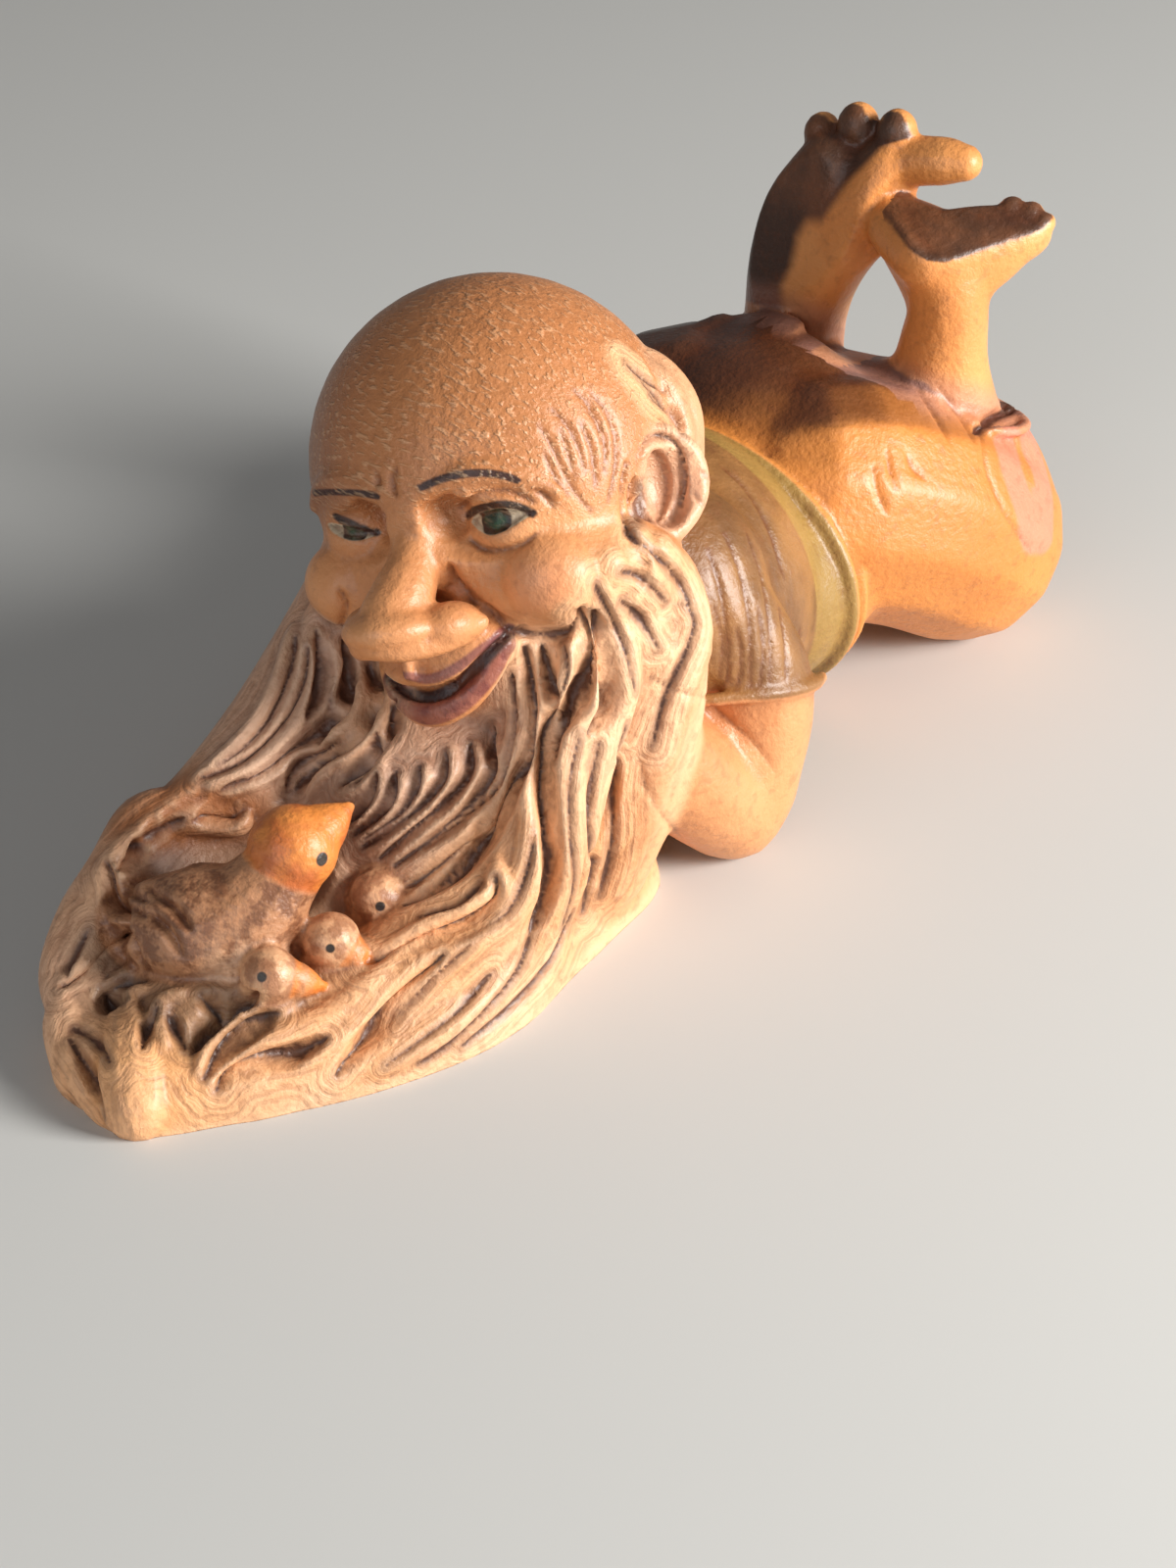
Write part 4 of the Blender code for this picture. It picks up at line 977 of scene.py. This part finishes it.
def ball_gap(centre, radii):
    q = (spots - np.array(centre)) / np.array(radii)
    way = np.linalg.norm(q, axis=1)
    return (way - 1) * way / np.linalg.norm(q / np.array(radii), axis=1)


def nearest(*gaps):
    return np.minimum.reduce(gaps)


def beak_rows(head, beak):
    return [(*(Vector(head) + Vector(beak) * 0.45), 2.0), (*(Vector(head) + Vector(beak) * 1.05), 0.6)]


print("vertices to measure at:", len(spots))

# %% [markdown]
# Hollows are darkened, partly as dirt and dark wash and partly as painted shade, and crests are paler,
# partly worn and partly as painted highlights. Both follow from one measure: how far a place lies below
# or above the smoothed skin around it, once over a small and once over a broad patch.

# %% Hollows, crests and the way to the nearest hair
normals, broad = smooth_normals(figure, 14)
_, fine = smooth_normals(figure, 3)
relief = ((spots - fine) * normals).sum(1)
deep = ((spots - broad) * normals).sum(1)
write("hollow_wash_and_shade", np.clip(-relief / 0.12, 0, 1) * 0.5 + np.clip(-deep / 0.5, 0, 1) * 0.5)
write("crest_wear_and_highlight", np.clip(relief / 0.10, 0, 1) * 0.5 + np.clip(deep / 0.4, 0, 1) * 0.5)
strand = way_to(hair_routes, HAIR_REACH)
left, front, up = head_places(spots)
x, y, z = spots.T
print("hollows down to", deep.min().round(1), "mm and crests up to", deep.max().round(1), "mm")

# %% [markdown]
# The borders of the painted areas follow the forms: hair ends where the rolls of the beard end, a
# sleeve ends round the arm. So each form's distance is measured first, and the areas are put together
# from those. Places on the shirt's neckline and the sole's ridge were planned on the photograph.

# %% Distances to the forms
beak_gap = nearest(*[rows_gap(beak_rows(*row)) for row in CHICKS])
chick_gap = nearest(beak_gap, *[round_gap(head, 3.5) for head, beak in CHICKS])
mother_head_gap = nearest(round_gap(MOTHER_HEAD, 5.4), rows_gap(MOTHER_BEAK))
bird_gap = nearest(chick_gap, mother_head_gap, rows_gap(MOTHER_BODY), round_gap(MOTHER_BREAST, 6.8))
arm_gap = nearest(*[rows_gap(rows) for side in (1, -1) for rows in arm_rows(side)])
beard_gap = nearest(ball_gap(*BEARD_HEART), *[rows_gap(rows) for rows in BEARD_ROLLS])
on_skull = np.sqrt(((left - 1.2) / 22.6) ** 2 + ((front - 1.8) / 22.4) ** 2 + ((up - 6.3) / 22.2) ** 2)
skull_gap = 22.3 * (on_skull - 1)
fringe_gap = nearest(*[rows_gap([(*on_head(*row[:3]), row[3]) for row in rows]) for rows in FRINGE])
torso_gap = nearest(*[ball_gap(*row) for row in TORSO_BALLS])
bird = ease(0.9, 0.1, bird_gap)
beard = np.maximum(ease(4.0, 2.5, strand) * (y < 8), ease(1.5, -0.5, beard_gap) * (y < 6))
beard = beard * ease(-0.6, 0.6, arm_gap - beard_gap + 0.6)
beard = np.where(y < -36, 1.0, beard) * (1 - bird)
sleeve_line = 26.0 - 0.22 * np.clip(y - 9, 0, None)
bare_arm = np.minimum(sleeve_line - z, 27.5 - y)
fold_line = 38.0 + 5.0 * ease(6, 0, x) - 0.55 * (y - 71)
print("share of the vertices in the beard:", beard.mean().round(2), "in the birds:", bird.mean().round(3))

# %% [markdown]
# Now the areas themselves are written, each under the name by which the paint will ask for it.

# %% Areas of hair, cloth, feet and nest
PIXELS_PER_MM = 8.3
SEAT_SHADE_WAY = np.array((-0.5, 0.1, 0.86))
BEARD_TIP = (-2.0, -69.0, 5.0)
EAR_RADII = (4.4, 5.0, 7.6)
RIM_TOP = [(-13, -38.5, 18.5, 2.2), (-18, -41.5, 19.3, 3.0), (-22, -45, 18.3, 3.4)]
# Routes where the hair is greyer and darker: partly a grey glaze, partly painted shade in the chin's
# valley, on the far side and along the nest's far rim.
GREYED_AND_SHADED_HAIR = [[(9, -21, 31, 2), (3, -30, 22, 2), (-4, -34, 19, 2)],
          [(-12, -16, 40, 3), (-13, -24, 33, 3), (-14, -33, 26, 3)],
          [(-23, -44, 14, 2), (-23, -54, 8, 2), (-20, -62, 3, 2)]]
write("strand", strand)
write("scratch", way_to(fine_routes, HAIR_REACH))
write("beard", beard)
write("fringe", ease(1.0, 0.2, fringe_gap) * (front < 2))
write("bird", bird)
write("birdhead", nearest(chick_gap, mother_head_gap))
write("motherhead", mother_head_gap)
write("beak", beak_gap)
write("breast", round_gap((0.5, -53.5, 12.0), 5.0))
write("arm", bare_arm)
write("shirt", np.where(y > 5, y - 42.0, -40.0))
torso_side = np.clip(nearest(skull_gap, fringe_gap) - torso_gap, -3, 3) - 3 * beard
sheet_x, sheet_y = on_sheet(spots)
hair_edge = np.interp(sheet_y, (440, 545, 620, 680, 715), (700, 690, 716, 716, 722))
near_side = (x > 5) & (normals @ np.array(VIEW_AHEAD) < -0.15)
torso_side = np.where(near_side, np.minimum(torso_side, (sheet_x - hair_edge) / PIXELS_PER_MM), torso_side)
write("torso", np.minimum(torso_side, y - 5.0))
# The seat's dark brown lies where the trousers face up and away from the lamp: partly brown paint, partly
# painted shade.
write("seat_paint_and_shade", ease(0.3, 0.8, normals @ SEAT_SHADE_WAY) * ease(42, 46, y) * ease(84, 74, y))
write("leg", np.where(y > 62, z - fold_line, -20.0))
right_foot = (x < 8) | (z > 62.5)
sole_way = np.where(right_foot[:, None], [RIGHT_SOLE_WAY], [LEFT_SOLE_WAY])
sole_side = (normals * sole_way).sum(1)
sole_ridge = np.interp(sheet_y, (138, 148, 185, 232, 290), (940, 903, 866, 835, 798))
within = 0.72 + 0.15 * (sole_ridge - sheet_x) / PIXELS_PER_MM
write("sole", np.where(right_foot, np.minimum(sole_side + 0.35, within), sole_side))
write("cuff", way_to([seen_route(places, skin) for places in CUFF_STROKES]))
write("skull", ease(2.0, 0.5, skull_gap) * ease(-2.0, 4.0, up))
ear_middles = [on_head(FACE_MIDDLE + side * 22.4, 0.0, 1.6) for side in (1, -1)]
ear_gap = nearest(*[ball_gap(centre, EAR_RADII) for centre in ear_middles])
write("ear", ease(1.0, 0.0, ear_gap))
write("shade", ease(2, -16, left) * ease(2.0, 0.5, skull_gap) * ease(-2.0, 6.0, up))
grey_and_shade_gap = nearest(*[rows_gap(rows) for rows in GREYED_AND_SHADED_HAIR])
write("grey_wash_and_shade", np.exp(-(grey_and_shade_gap / 7.0).clip(0) ** 2))
# Painted shade: the pit of the nest, below its rim and away from the birds, is darkened.
write("nest_pit_shade", ease(1.5, -3.5, z - 17) * ease(17, 12, np.hypot(x + 5, (y + 51) * 0.9)) * (1 - bird))
write("rimtop", np.exp(-(rows_gap(RIM_TOP).clip(0) / 2.5) ** 2))
write("lump", np.exp(-(round_gap(BEARD_TIP, 0.0) / 8.0) ** 2))
print("attributes so far:", len(figure.data.attributes))

# %% [markdown]
# Painted lines, such as the brows, the lips and the hem, are routes in the photograph again. What is
# written is the way to the route, so the paint can choose how broad and how soft the line is.

# %% Lines of paint
def line_field(*routes):
    return way_to([seen_route(places, skin) for places in routes])


write("brow", line_field([(428, 498), (453, 488), (480, 483), (507, 484), (528, 490)],
                         [(320, 503), (340, 502), (362, 503), (385, 506)]))
write("lash", line_field([(478, 526), (488, 519), (507, 515), (527, 517), (544, 524)],
                         [(343, 527), (352, 532), (366, 538), (384, 543)]))
write("eye", np.maximum(*[opening(spots, upper, lower, side) for upper, lower, side in lids]))
write("lip", line_field([(515, 655), (495, 686), (466, 716), (434, 728), (409, 713), (398, 698)]))
write("upperlip", line_field([(520, 641), (494, 661), (467, 681), (440, 693), (412, 690)]))
write("slit", line_field(MOUTH_SLIT))
write("patch", line_field([(1026, 455), (1038, 495), (1056, 545)], [(1052, 450), (1066, 500), (1066, 545)]))
write("concha", line_field([(656, 496), (651, 520), (645, 540)]))
# The place of the painted highlight on the crown of the near cheek.
write("cheek", line_field([(545, 600), (560, 595)]))
write("hem", line_field([(705, 437), (735, 447), (765, 462), (795, 483), (822, 515), (842, 556),
                         (853, 600), (857, 650), (852, 692)]))
move_to(figure, on_solid(spots))
for face in figure.data.polygons:
    face.use_smooth = True
print("attributes in all:", len(figure.data.attributes))

# %% [markdown]
# The material is worked out with sums on masks. To keep those readable, a small class wraps a
# socket, so that a sum written in Python adds the Math nodes for it.

# %% A helper for shader sums
paint = bpy.data.materials.new("varnished_paint")
paint.use_nodes = True
figure.data.materials.clear()
figure.data.materials.append(paint)
TREE = paint.node_tree


class Wire:
    def __init__(self, socket):
        self.socket = socket

    def math(self, operation, *others):
        return add_node("ShaderNodeMath", {"operation": operation}, self, *others)

    def __add__(self, other):
        return self.math("ADD", other)

    def __radd__(self, other):
        return self.math("ADD", other)

    def __sub__(self, other):
        return self.math("SUBTRACT", other)

    def __rsub__(self, other):
        return add_node("ShaderNodeMath", {"operation": "SUBTRACT"}, other, self)

    def __mul__(self, other):
        return self.math("MULTIPLY", other)

    def __rmul__(self, other):
        return self.math("MULTIPLY", other)


def plug(socket, value):
    if isinstance(value, Wire):
        TREE.links.new(value.socket, socket)
    elif value is not None:
        socket.default_value = value


def add_node(kind, settings, *values, out=0, named=None):
    node = TREE.nodes.new(kind)
    for setting, value in settings.items():
        setattr(node, setting, value)
    for socket, value in zip(node.inputs, values):
        plug(socket, value)
    for name, value in (named or {}).items():
        plug(node.inputs[name], value)
    return Wire(node.outputs[out])


def area(name):
    return add_node("ShaderNodeAttribute", {"attribute_name": name}, out="Fac")


def step(low, high, value):
    # From 0 below one value to 1 above another, eased at both ends.
    if low > high:
        return 1.0 - step(high, low, value)
    return add_node("ShaderNodeMapRange", {"interpolation_type": "SMOOTHSTEP"}, value, low, high, 0.0, 1.0)


def mix(factor, first, second):
    # A Mix node has its factor first, then five sockets for other kinds, then its two colours.
    unused = [None] * 5
    return add_node("ShaderNodeMix", {"data_type": "RGBA"}, factor, *unused, first, second, out=2)


def tone(red, green, blue):
    # A colour as a painter reads it off a chart, from 0 to 255, made linear.
    return tuple(((c / 255 + 0.055) / 1.055) ** 2.4 for c in (red, green, blue)) + (1.0,)


PLACE = add_node("ShaderNodeTexCoord", {}, out="Object")


def noise(size, detail=2.0, rough=0.5, where=PLACE):
    # A cloud whose lumps are about size millimetres across.
    look = {"Scale": 0.5 / (size * MM), "Detail": detail, "Roughness": rough}
    return add_node("ShaderNodeTexNoise", {}, where, named=look, out="Fac")


# %% [markdown]
# Paint on such figures is thin: the wood's warm orange shows through everywhere, and each area is
# only a glaze over it. So the mix starts with the wood and lays one glaze after another, and last the
# dark of the grooves, partly a wash that stays in them and partly painted shade.

# %% Skin and wood
cloud = noise(9.0, 4.0)
speck = noise(0.9, 2.0, 0.6)
wood = mix(step(0.35, 0.65, cloud), tone(204, 136, 84), tone(220, 154, 100))
wood = mix(step(0.45, 0.75, noise(22.0)), wood, tone(174, 100, 48))
wood = mix(area("skull") * 0.7, wood, tone(180, 112, 62))
wood = mix(area("shade") * 0.7, wood, tone(112, 76, 60))
# Painted highlight: a lighter, pinker spot on the crown of the near cheek, where the lamp's glint falls.
cheek_highlight = step(6.0, 1.5, area("cheek"))
wood = mix(cheek_highlight * 0.4, wood, tone(232, 148, 104))
print("nodes for the bare wood:", len(TREE.nodes))

# %% [markdown]
# Hair is a pale, warm wash over the wood. Between the cheek and the nest, on the beard's far side and along
# the nest's far rim it is greyer and darker, partly a grey glaze and partly painted shade. The lump at the
# beard's tip kept more of the orange. The ear is paler than the head, and its bowl is darkened with painted
# shade.

# %% Hair
strand = area("strand")
beard = area("beard")
hollow_wash_and_shade = area("hollow_wash_and_shade")
crest_wear_and_highlight = area("crest_wear_and_highlight")
hair_tone = mix(step(0.35, 0.65, noise(12.0, 3.0)), tone(240, 186, 142), tone(226, 164, 112))
# Greyer, darker hair near those routes: partly grey glaze, partly painted shade.
hair_tone = mix(area("grey_wash_and_shade") * 0.75, hair_tone, tone(174, 140, 122))
hair_tone = mix(area("lump") * 0.8, hair_tone, tone(238, 172, 110))
colour = mix(beard, wood, hair_tone)
colour = mix(area("fringe") * 0.7, colour, tone(214, 162, 122))
colour = mix(area("ear") * 0.8, colour, tone(228, 174, 138))
# Painted shade: the bowl of the near ear is darkened.
colour = mix(step(1.7, 0.3, area("concha")) * 0.75, colour, tone(84, 56, 44))
print("nodes with the hair:", len(TREE.nodes))

# %% [markdown]
# The shirt is olive with a lighter band and a dark hem, the trousers are orange brown with a pink patch.
# Both are thin paint on carved wood, so they have no thickness: an area's distance, eased over less than
# a millimetre, is their whole edge. The soles are dark brown, partly a stain as if they had walked on
# earth and partly painted shade where the right sole faces away from the lamp.

# %% Clothes
hem_side = area("shirt")
torso = area("torso")
leg = area("leg")
bare_arm = step(-0.3, 0.3, area("arm"))
olive = mix(step(0.3, 0.7, noise(5.0, 4.0)), tone(112, 74, 38), tone(156, 108, 58))
band = step(-7.5, -6.5, hem_side)
olive = mix(band * 0.7, olive, tone(168, 134, 66))
olive = mix(step(0.9, 0.3, area("hem")) * 0.8, olive, tone(70, 84, 66))
on_shirt = step(0.4, -0.4, hem_side) * step(-0.6, 0.0, torso) * (1.0 - bare_arm)
colour = mix(on_shirt, colour, olive)
cloth = mix(step(0.3, 0.7, noise(14.0, 3.0)), tone(222, 136, 58), tone(234, 154, 76))
cloth = mix(step(0.5, 0.75, noise(30.0, 2.0)) * 0.5, cloth, tone(170, 92, 34))
# Dark brown on the seat: partly brown paint, partly painted shade on the side turned from the lamp.
cloth = mix(area("seat_paint_and_shade"), cloth, tone(84, 40, 14))
cloth = mix(step(3.4, 2.4, area("patch")) * 0.95, cloth, tone(234, 134, 104))
on_trousers = step(-0.4, 0.4, hem_side) * step(0.4, -0.4, leg)
colour = mix(on_trousers, colour, cloth)
on_legs = step(-0.4, 0.4, leg)
foot_tone = mix(step(0.35, 0.65, cloud), tone(218, 140, 72), tone(234, 160, 92))
sole_stain_and_shade = mix(step(0.4, 0.7, noise(4.0, 3.0)), tone(66, 36, 20), tone(112, 66, 38))
# The soles: partly brown stain, partly painted shade where the right sole faces away from the lamp.
foot_tone = mix(step(0.6, 0.85, area("sole")), foot_tone, sole_stain_and_shade)
colour = mix(on_legs, colour, foot_tone)
glaze = step(5.0, 0.5, leg.math("ABSOLUTE")) * step(-5.0, -2.0, leg)
colour = mix(glaze * 0.5, colour, tone(186, 136, 122))
# Painted shade: a dark line in the groove where the trouser leg opens at the cuff.
colour = mix(step(1.1, 0.4, area("cuff")), colour, tone(64, 30, 16))
print("nodes with the clothes:", len(TREE.nodes))

# %% [markdown]
# The birds are painted with a stiff brush in two browns that break into feathers. The mother's head and
# breast are brighter than her back, and the chicks' beaks are orange, so the eye finds them in the nest.

# %% Paint on the birds and the nest
feather = mix(step(0.4, 0.6, noise(1.4, 3.0, 0.7)), tone(124, 78, 50), tone(182, 128, 90))
breast = step(2.5, -2.5, area("breast")) * step(0.35, 0.6, noise(1.6, 3.0, 0.7))
feather = mix(breast, feather, tone(236, 188, 150))
colour = mix(area("bird"), colour, feather)
down = mix(step(0.4, 0.6, noise(1.0, 3.0)), tone(168, 116, 82), tone(216, 164, 122))
down = mix(step(0.7, 0.1, area("beak")), down, tone(228, 130, 52))
colour = mix(step(0.8, 0.1, area("birdhead")), colour, down)
orange = mix(step(0.4, 0.6, noise(3.0, 3.0)), tone(220, 134, 60), tone(190, 100, 44))
colour = mix(step(0.8, 0.1, area("motherhead")), colour, orange)
colour = mix(area("rimtop") * 0.9, colour, tone(150, 86, 38))
print("nodes with the birds:", len(TREE.nodes))

# %% [markdown]
# The face has the only sharp paint: brows, lids, eyes and lips. Their edges come from distances,
# and the iris from its own ball around a point on the eye.

# %% Face paint
colour = mix(step(0.65, 0.3, area("brow")), colour, tone(50, 14, 8))
eye = area("eye")
in_eye = step(-0.1, 0.15, eye)
colour = mix(in_eye, colour, tone(208, 190, 160))


def ball_mask(place, radius, soft=0.15):
    centre = tuple(Vector(on_solid(place)) * MM)
    gap = add_node("ShaderNodeVectorMath", {"operation": "DISTANCE"}, PLACE, centre, out="Value") * (1 / MM)
    return step(radius + soft, radius - soft, gap)


near_iris = seen((505, 530), skin)
far_iris = seen((362, 542), skin)
iris_rim = ball_mask(near_iris, 2.1) + ball_mask(far_iris, 1.6)
colour = mix(in_eye * iris_rim, colour, tone(8, 14, 10))
iris = ball_mask(near_iris, 1.45, 0.4) + ball_mask(far_iris, 1.1, 0.35)
colour = mix(in_eye * iris, colour, mix(step(0.4, 0.6, noise(0.6)), tone(6, 46, 26), tone(14, 72, 42)))
colour = mix(step(0.75, 0.35, area("lash")), colour, tone(36, 16, 12))
lip_tone = mix(step(0.4, 0.6, noise(1.2, 2.0)), tone(120, 56, 48), tone(150, 84, 66))
colour = mix(step(2.1, 1.5, area("lip")), colour, lip_tone)
colour = mix(step(0.9, 0.4, area("upperlip")) * 0.8, colour, tone(118, 60, 66))
colour = mix(step(1.2, 0.5, area("slit")), colour, tone(46, 18, 20))


def bird_eye(place, size):
    return ball_mask(seen(place, skin), size, 0.12)


eyes = (bird_eye((329, 877), 0.85) + bird_eye((388, 925), 0.6)
        + bird_eye((337, 968), 0.55) + bird_eye((267, 997), 0.6))
colour = mix(eyes, colour, tone(18, 12, 10))
print("near iris painted at", near_iris.round(1), "and far iris at", far_iris.round(1))

# %% [markdown]
# Last the grooves and hollows are darkened, partly as a dark wash left there and partly as painted shade,
# and the crests come out pale, partly worn and partly as painted highlights. The pit of the nest is
# darkened with painted shade. Hair gets fine combed lines: their noise is looked up by the way to the
# nearest stroke, so they run beside the strokes. The bald crown shows short slanted hatches, each painted
# pale as a glint.

# %% Dark wash and painted shade, worn crests and painted highlights
across_hair = strand * 0.8 + noise(5.0, 2.0) * 1.4
line_place = add_node("ShaderNodeCombineXYZ", {}, across_hair, noise(3.0, 2.0) * 3.0, 0.0)
combed = add_node("ShaderNodeTexNoise", {}, line_place, named={"Scale": 2.0, "Detail": 3.0}, out="Fac")
near_hair = step(7.0, 4.0, strand) * beard
hair_line = step(0.52, 0.40, combed) * near_hair
colour = mix(hair_line * 0.35, colour, tone(150, 96, 62))
groove = step(1.5, 0.1, strand) * beard
scratch = step(0.7, 0.1, area("scratch")) * 0.5
# Grooves, hollows and scratches darkened: partly a dark wash, partly painted shade.
dark_wash_and_shade = (hollow_wash_and_shade * 1.2 + groove * 0.5 + scratch).math("MINIMUM", 1.0) * (0.75 + 0.5 * noise(2.0, 2.0))
dark_wash_and_shade = (dark_wash_and_shade * (0.65 + 0.35 * beard)).math("MINIMUM", 0.96)
colour = mix(dark_wash_and_shade, colour, mix(beard, tone(96, 46, 22), tone(84, 48, 32)))
# Paler crests: partly wear, partly painted highlights.
colour = mix(crest_wear_and_highlight * (0.06 + 0.36 * beard), colour, tone(248, 208, 170))
# Painted shade in the pit of the nest.
colour = mix(area("nest_pit_shade") * 0.55, colour, tone(60, 42, 34))
mottle = step(0.52, 0.72, speck) * 0.22
colour = mix(mottle, colour, tone(120, 66, 36))
slanted = add_node("ShaderNodeMapping", {}, PLACE,
                   named={"Rotation": (0.6, 0.5, 0.9), "Scale": (1.0, 3.2, 3.2)})
# Painted highlight: short slanted hatches on the crown, a bump, each painted pale as a glint.
hatch_and_glint = step(0.5, 0.75, noise(0.8, 1.0, 0.5, slanted)) * area("skull")
colour = mix(hatch_and_glint * 0.3, colour, tone(244, 200, 156))
print("nodes for the whole colour:", len(TREE.nodes))

# %% [markdown]
# The varnish is a thin coat that gives soft glints on every crest. The grain of the casting, the combed
# lines and the barbs of the feathers are too fine to model, so they are a bump, a quarter of a
# millimetre deep. The figure is then hung on the body called root, and the solid it stands in for is
# hidden.

# %% Varnish
look = TREE.nodes["Principled BSDF"]
plug(look.inputs["Base Color"], colour)
plug(look.inputs["Roughness"], 0.38 + 0.18 * noise(1.2, 3.0) + 0.1 * beard)
plug(look.inputs["Coat Weight"], 0.22)
plug(look.inputs["Coat Roughness"], 0.30)
grain = noise(0.55, 3.0, 0.6)
feathered = noise(1.6, 2.0, 0.5, slanted) * area("bird")
height = grain * 1.3 + combed * near_hair * 1.6 + noise(4.0, 2.0) * 0.6 + hatch_and_glint * 0.6 + feathered * 1.0
bump = add_node("ShaderNodeBump", {}, out="Normal",
                named={"Strength": 0.8, "Distance": 0.25 * MM, "Height": height})
plug(look.inputs["Normal"], bump)
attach(figure, "root")
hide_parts("troll_figurine")
print("nodes in the whole material:", len(TREE.nodes))

# %% [markdown]
# The stage is plain, so that nothing leads away from the figure. A bright window on the right draws the
# glints and the deep shadows, and a weak broad light from the left opens them a little. The camera
# stands at the viewpoint from which the strokes were planned.

# %% Floor, light and camera
bpy.ops.mesh.primitive_plane_add(size=6.0, location=(0, 0, 0))
floor = bpy.context.object
floor.name = "floor"
pale = bpy.data.materials.new("pale_floor")
pale.use_nodes = True
pale_look = pale.node_tree.nodes["Principled BSDF"]
pale_look.inputs["Base Color"].default_value = (0.62, 0.62, 0.60, 1)
pale_look.inputs["Roughness"].default_value = 0.9
floor.data.materials.append(pale)


def lamp(name, place, target, size, power, colour):
    light = bpy.data.lights.new(name, "AREA")
    light.size = size
    light.energy = power
    light.color = colour
    holder = bpy.data.objects.new(name, light)
    bpy.context.scene.collection.objects.link(holder)
    holder.location = place
    holder.rotation_euler = (Vector(target) - Vector(place)).to_track_quat("-Z", "Y").to_euler()
    return holder


lamp("window", (0.68, 0.18, 0.31), (0, 0, 0.03), 0.30, 10.5, (1.0, 0.98, 0.95))
lamp("fill", (0.1, -0.9, 0.3), (0, 0, 0.03), 0.8, 3.2, (0.95, 0.97, 1.0))
world = bpy.data.worlds.new("studio")
bpy.context.scene.world = world
world.use_nodes = True
world.node_tree.nodes["Background"].inputs["Color"].default_value = (0.86, 0.85, 0.84, 1)
world.node_tree.nodes["Background"].inputs["Strength"].default_value = 0.17
lens = bpy.data.cameras.new("camera")
lens.lens = LENS
lens.sensor_width = SENSOR
lens.clip_start = 0.01
camera = bpy.data.objects.new("camera", lens)
bpy.context.scene.collection.objects.link(camera)
turn = Matrix((VIEW_RIGHT, VIEW_UP, -VIEW_AHEAD)).transposed().to_4x4()
camera.matrix_world = Matrix.Translation((VIEWPOINT + Vector(solid_middle - middle)) * MM) @ turn
bpy.context.scene.camera = camera
bpy.context.scene.view_settings.view_transform = "Standard"
print("camera", round((VIEWPOINT - Vector(middle)).length), "mm from the figure's middle, lens", LENS, "mm")
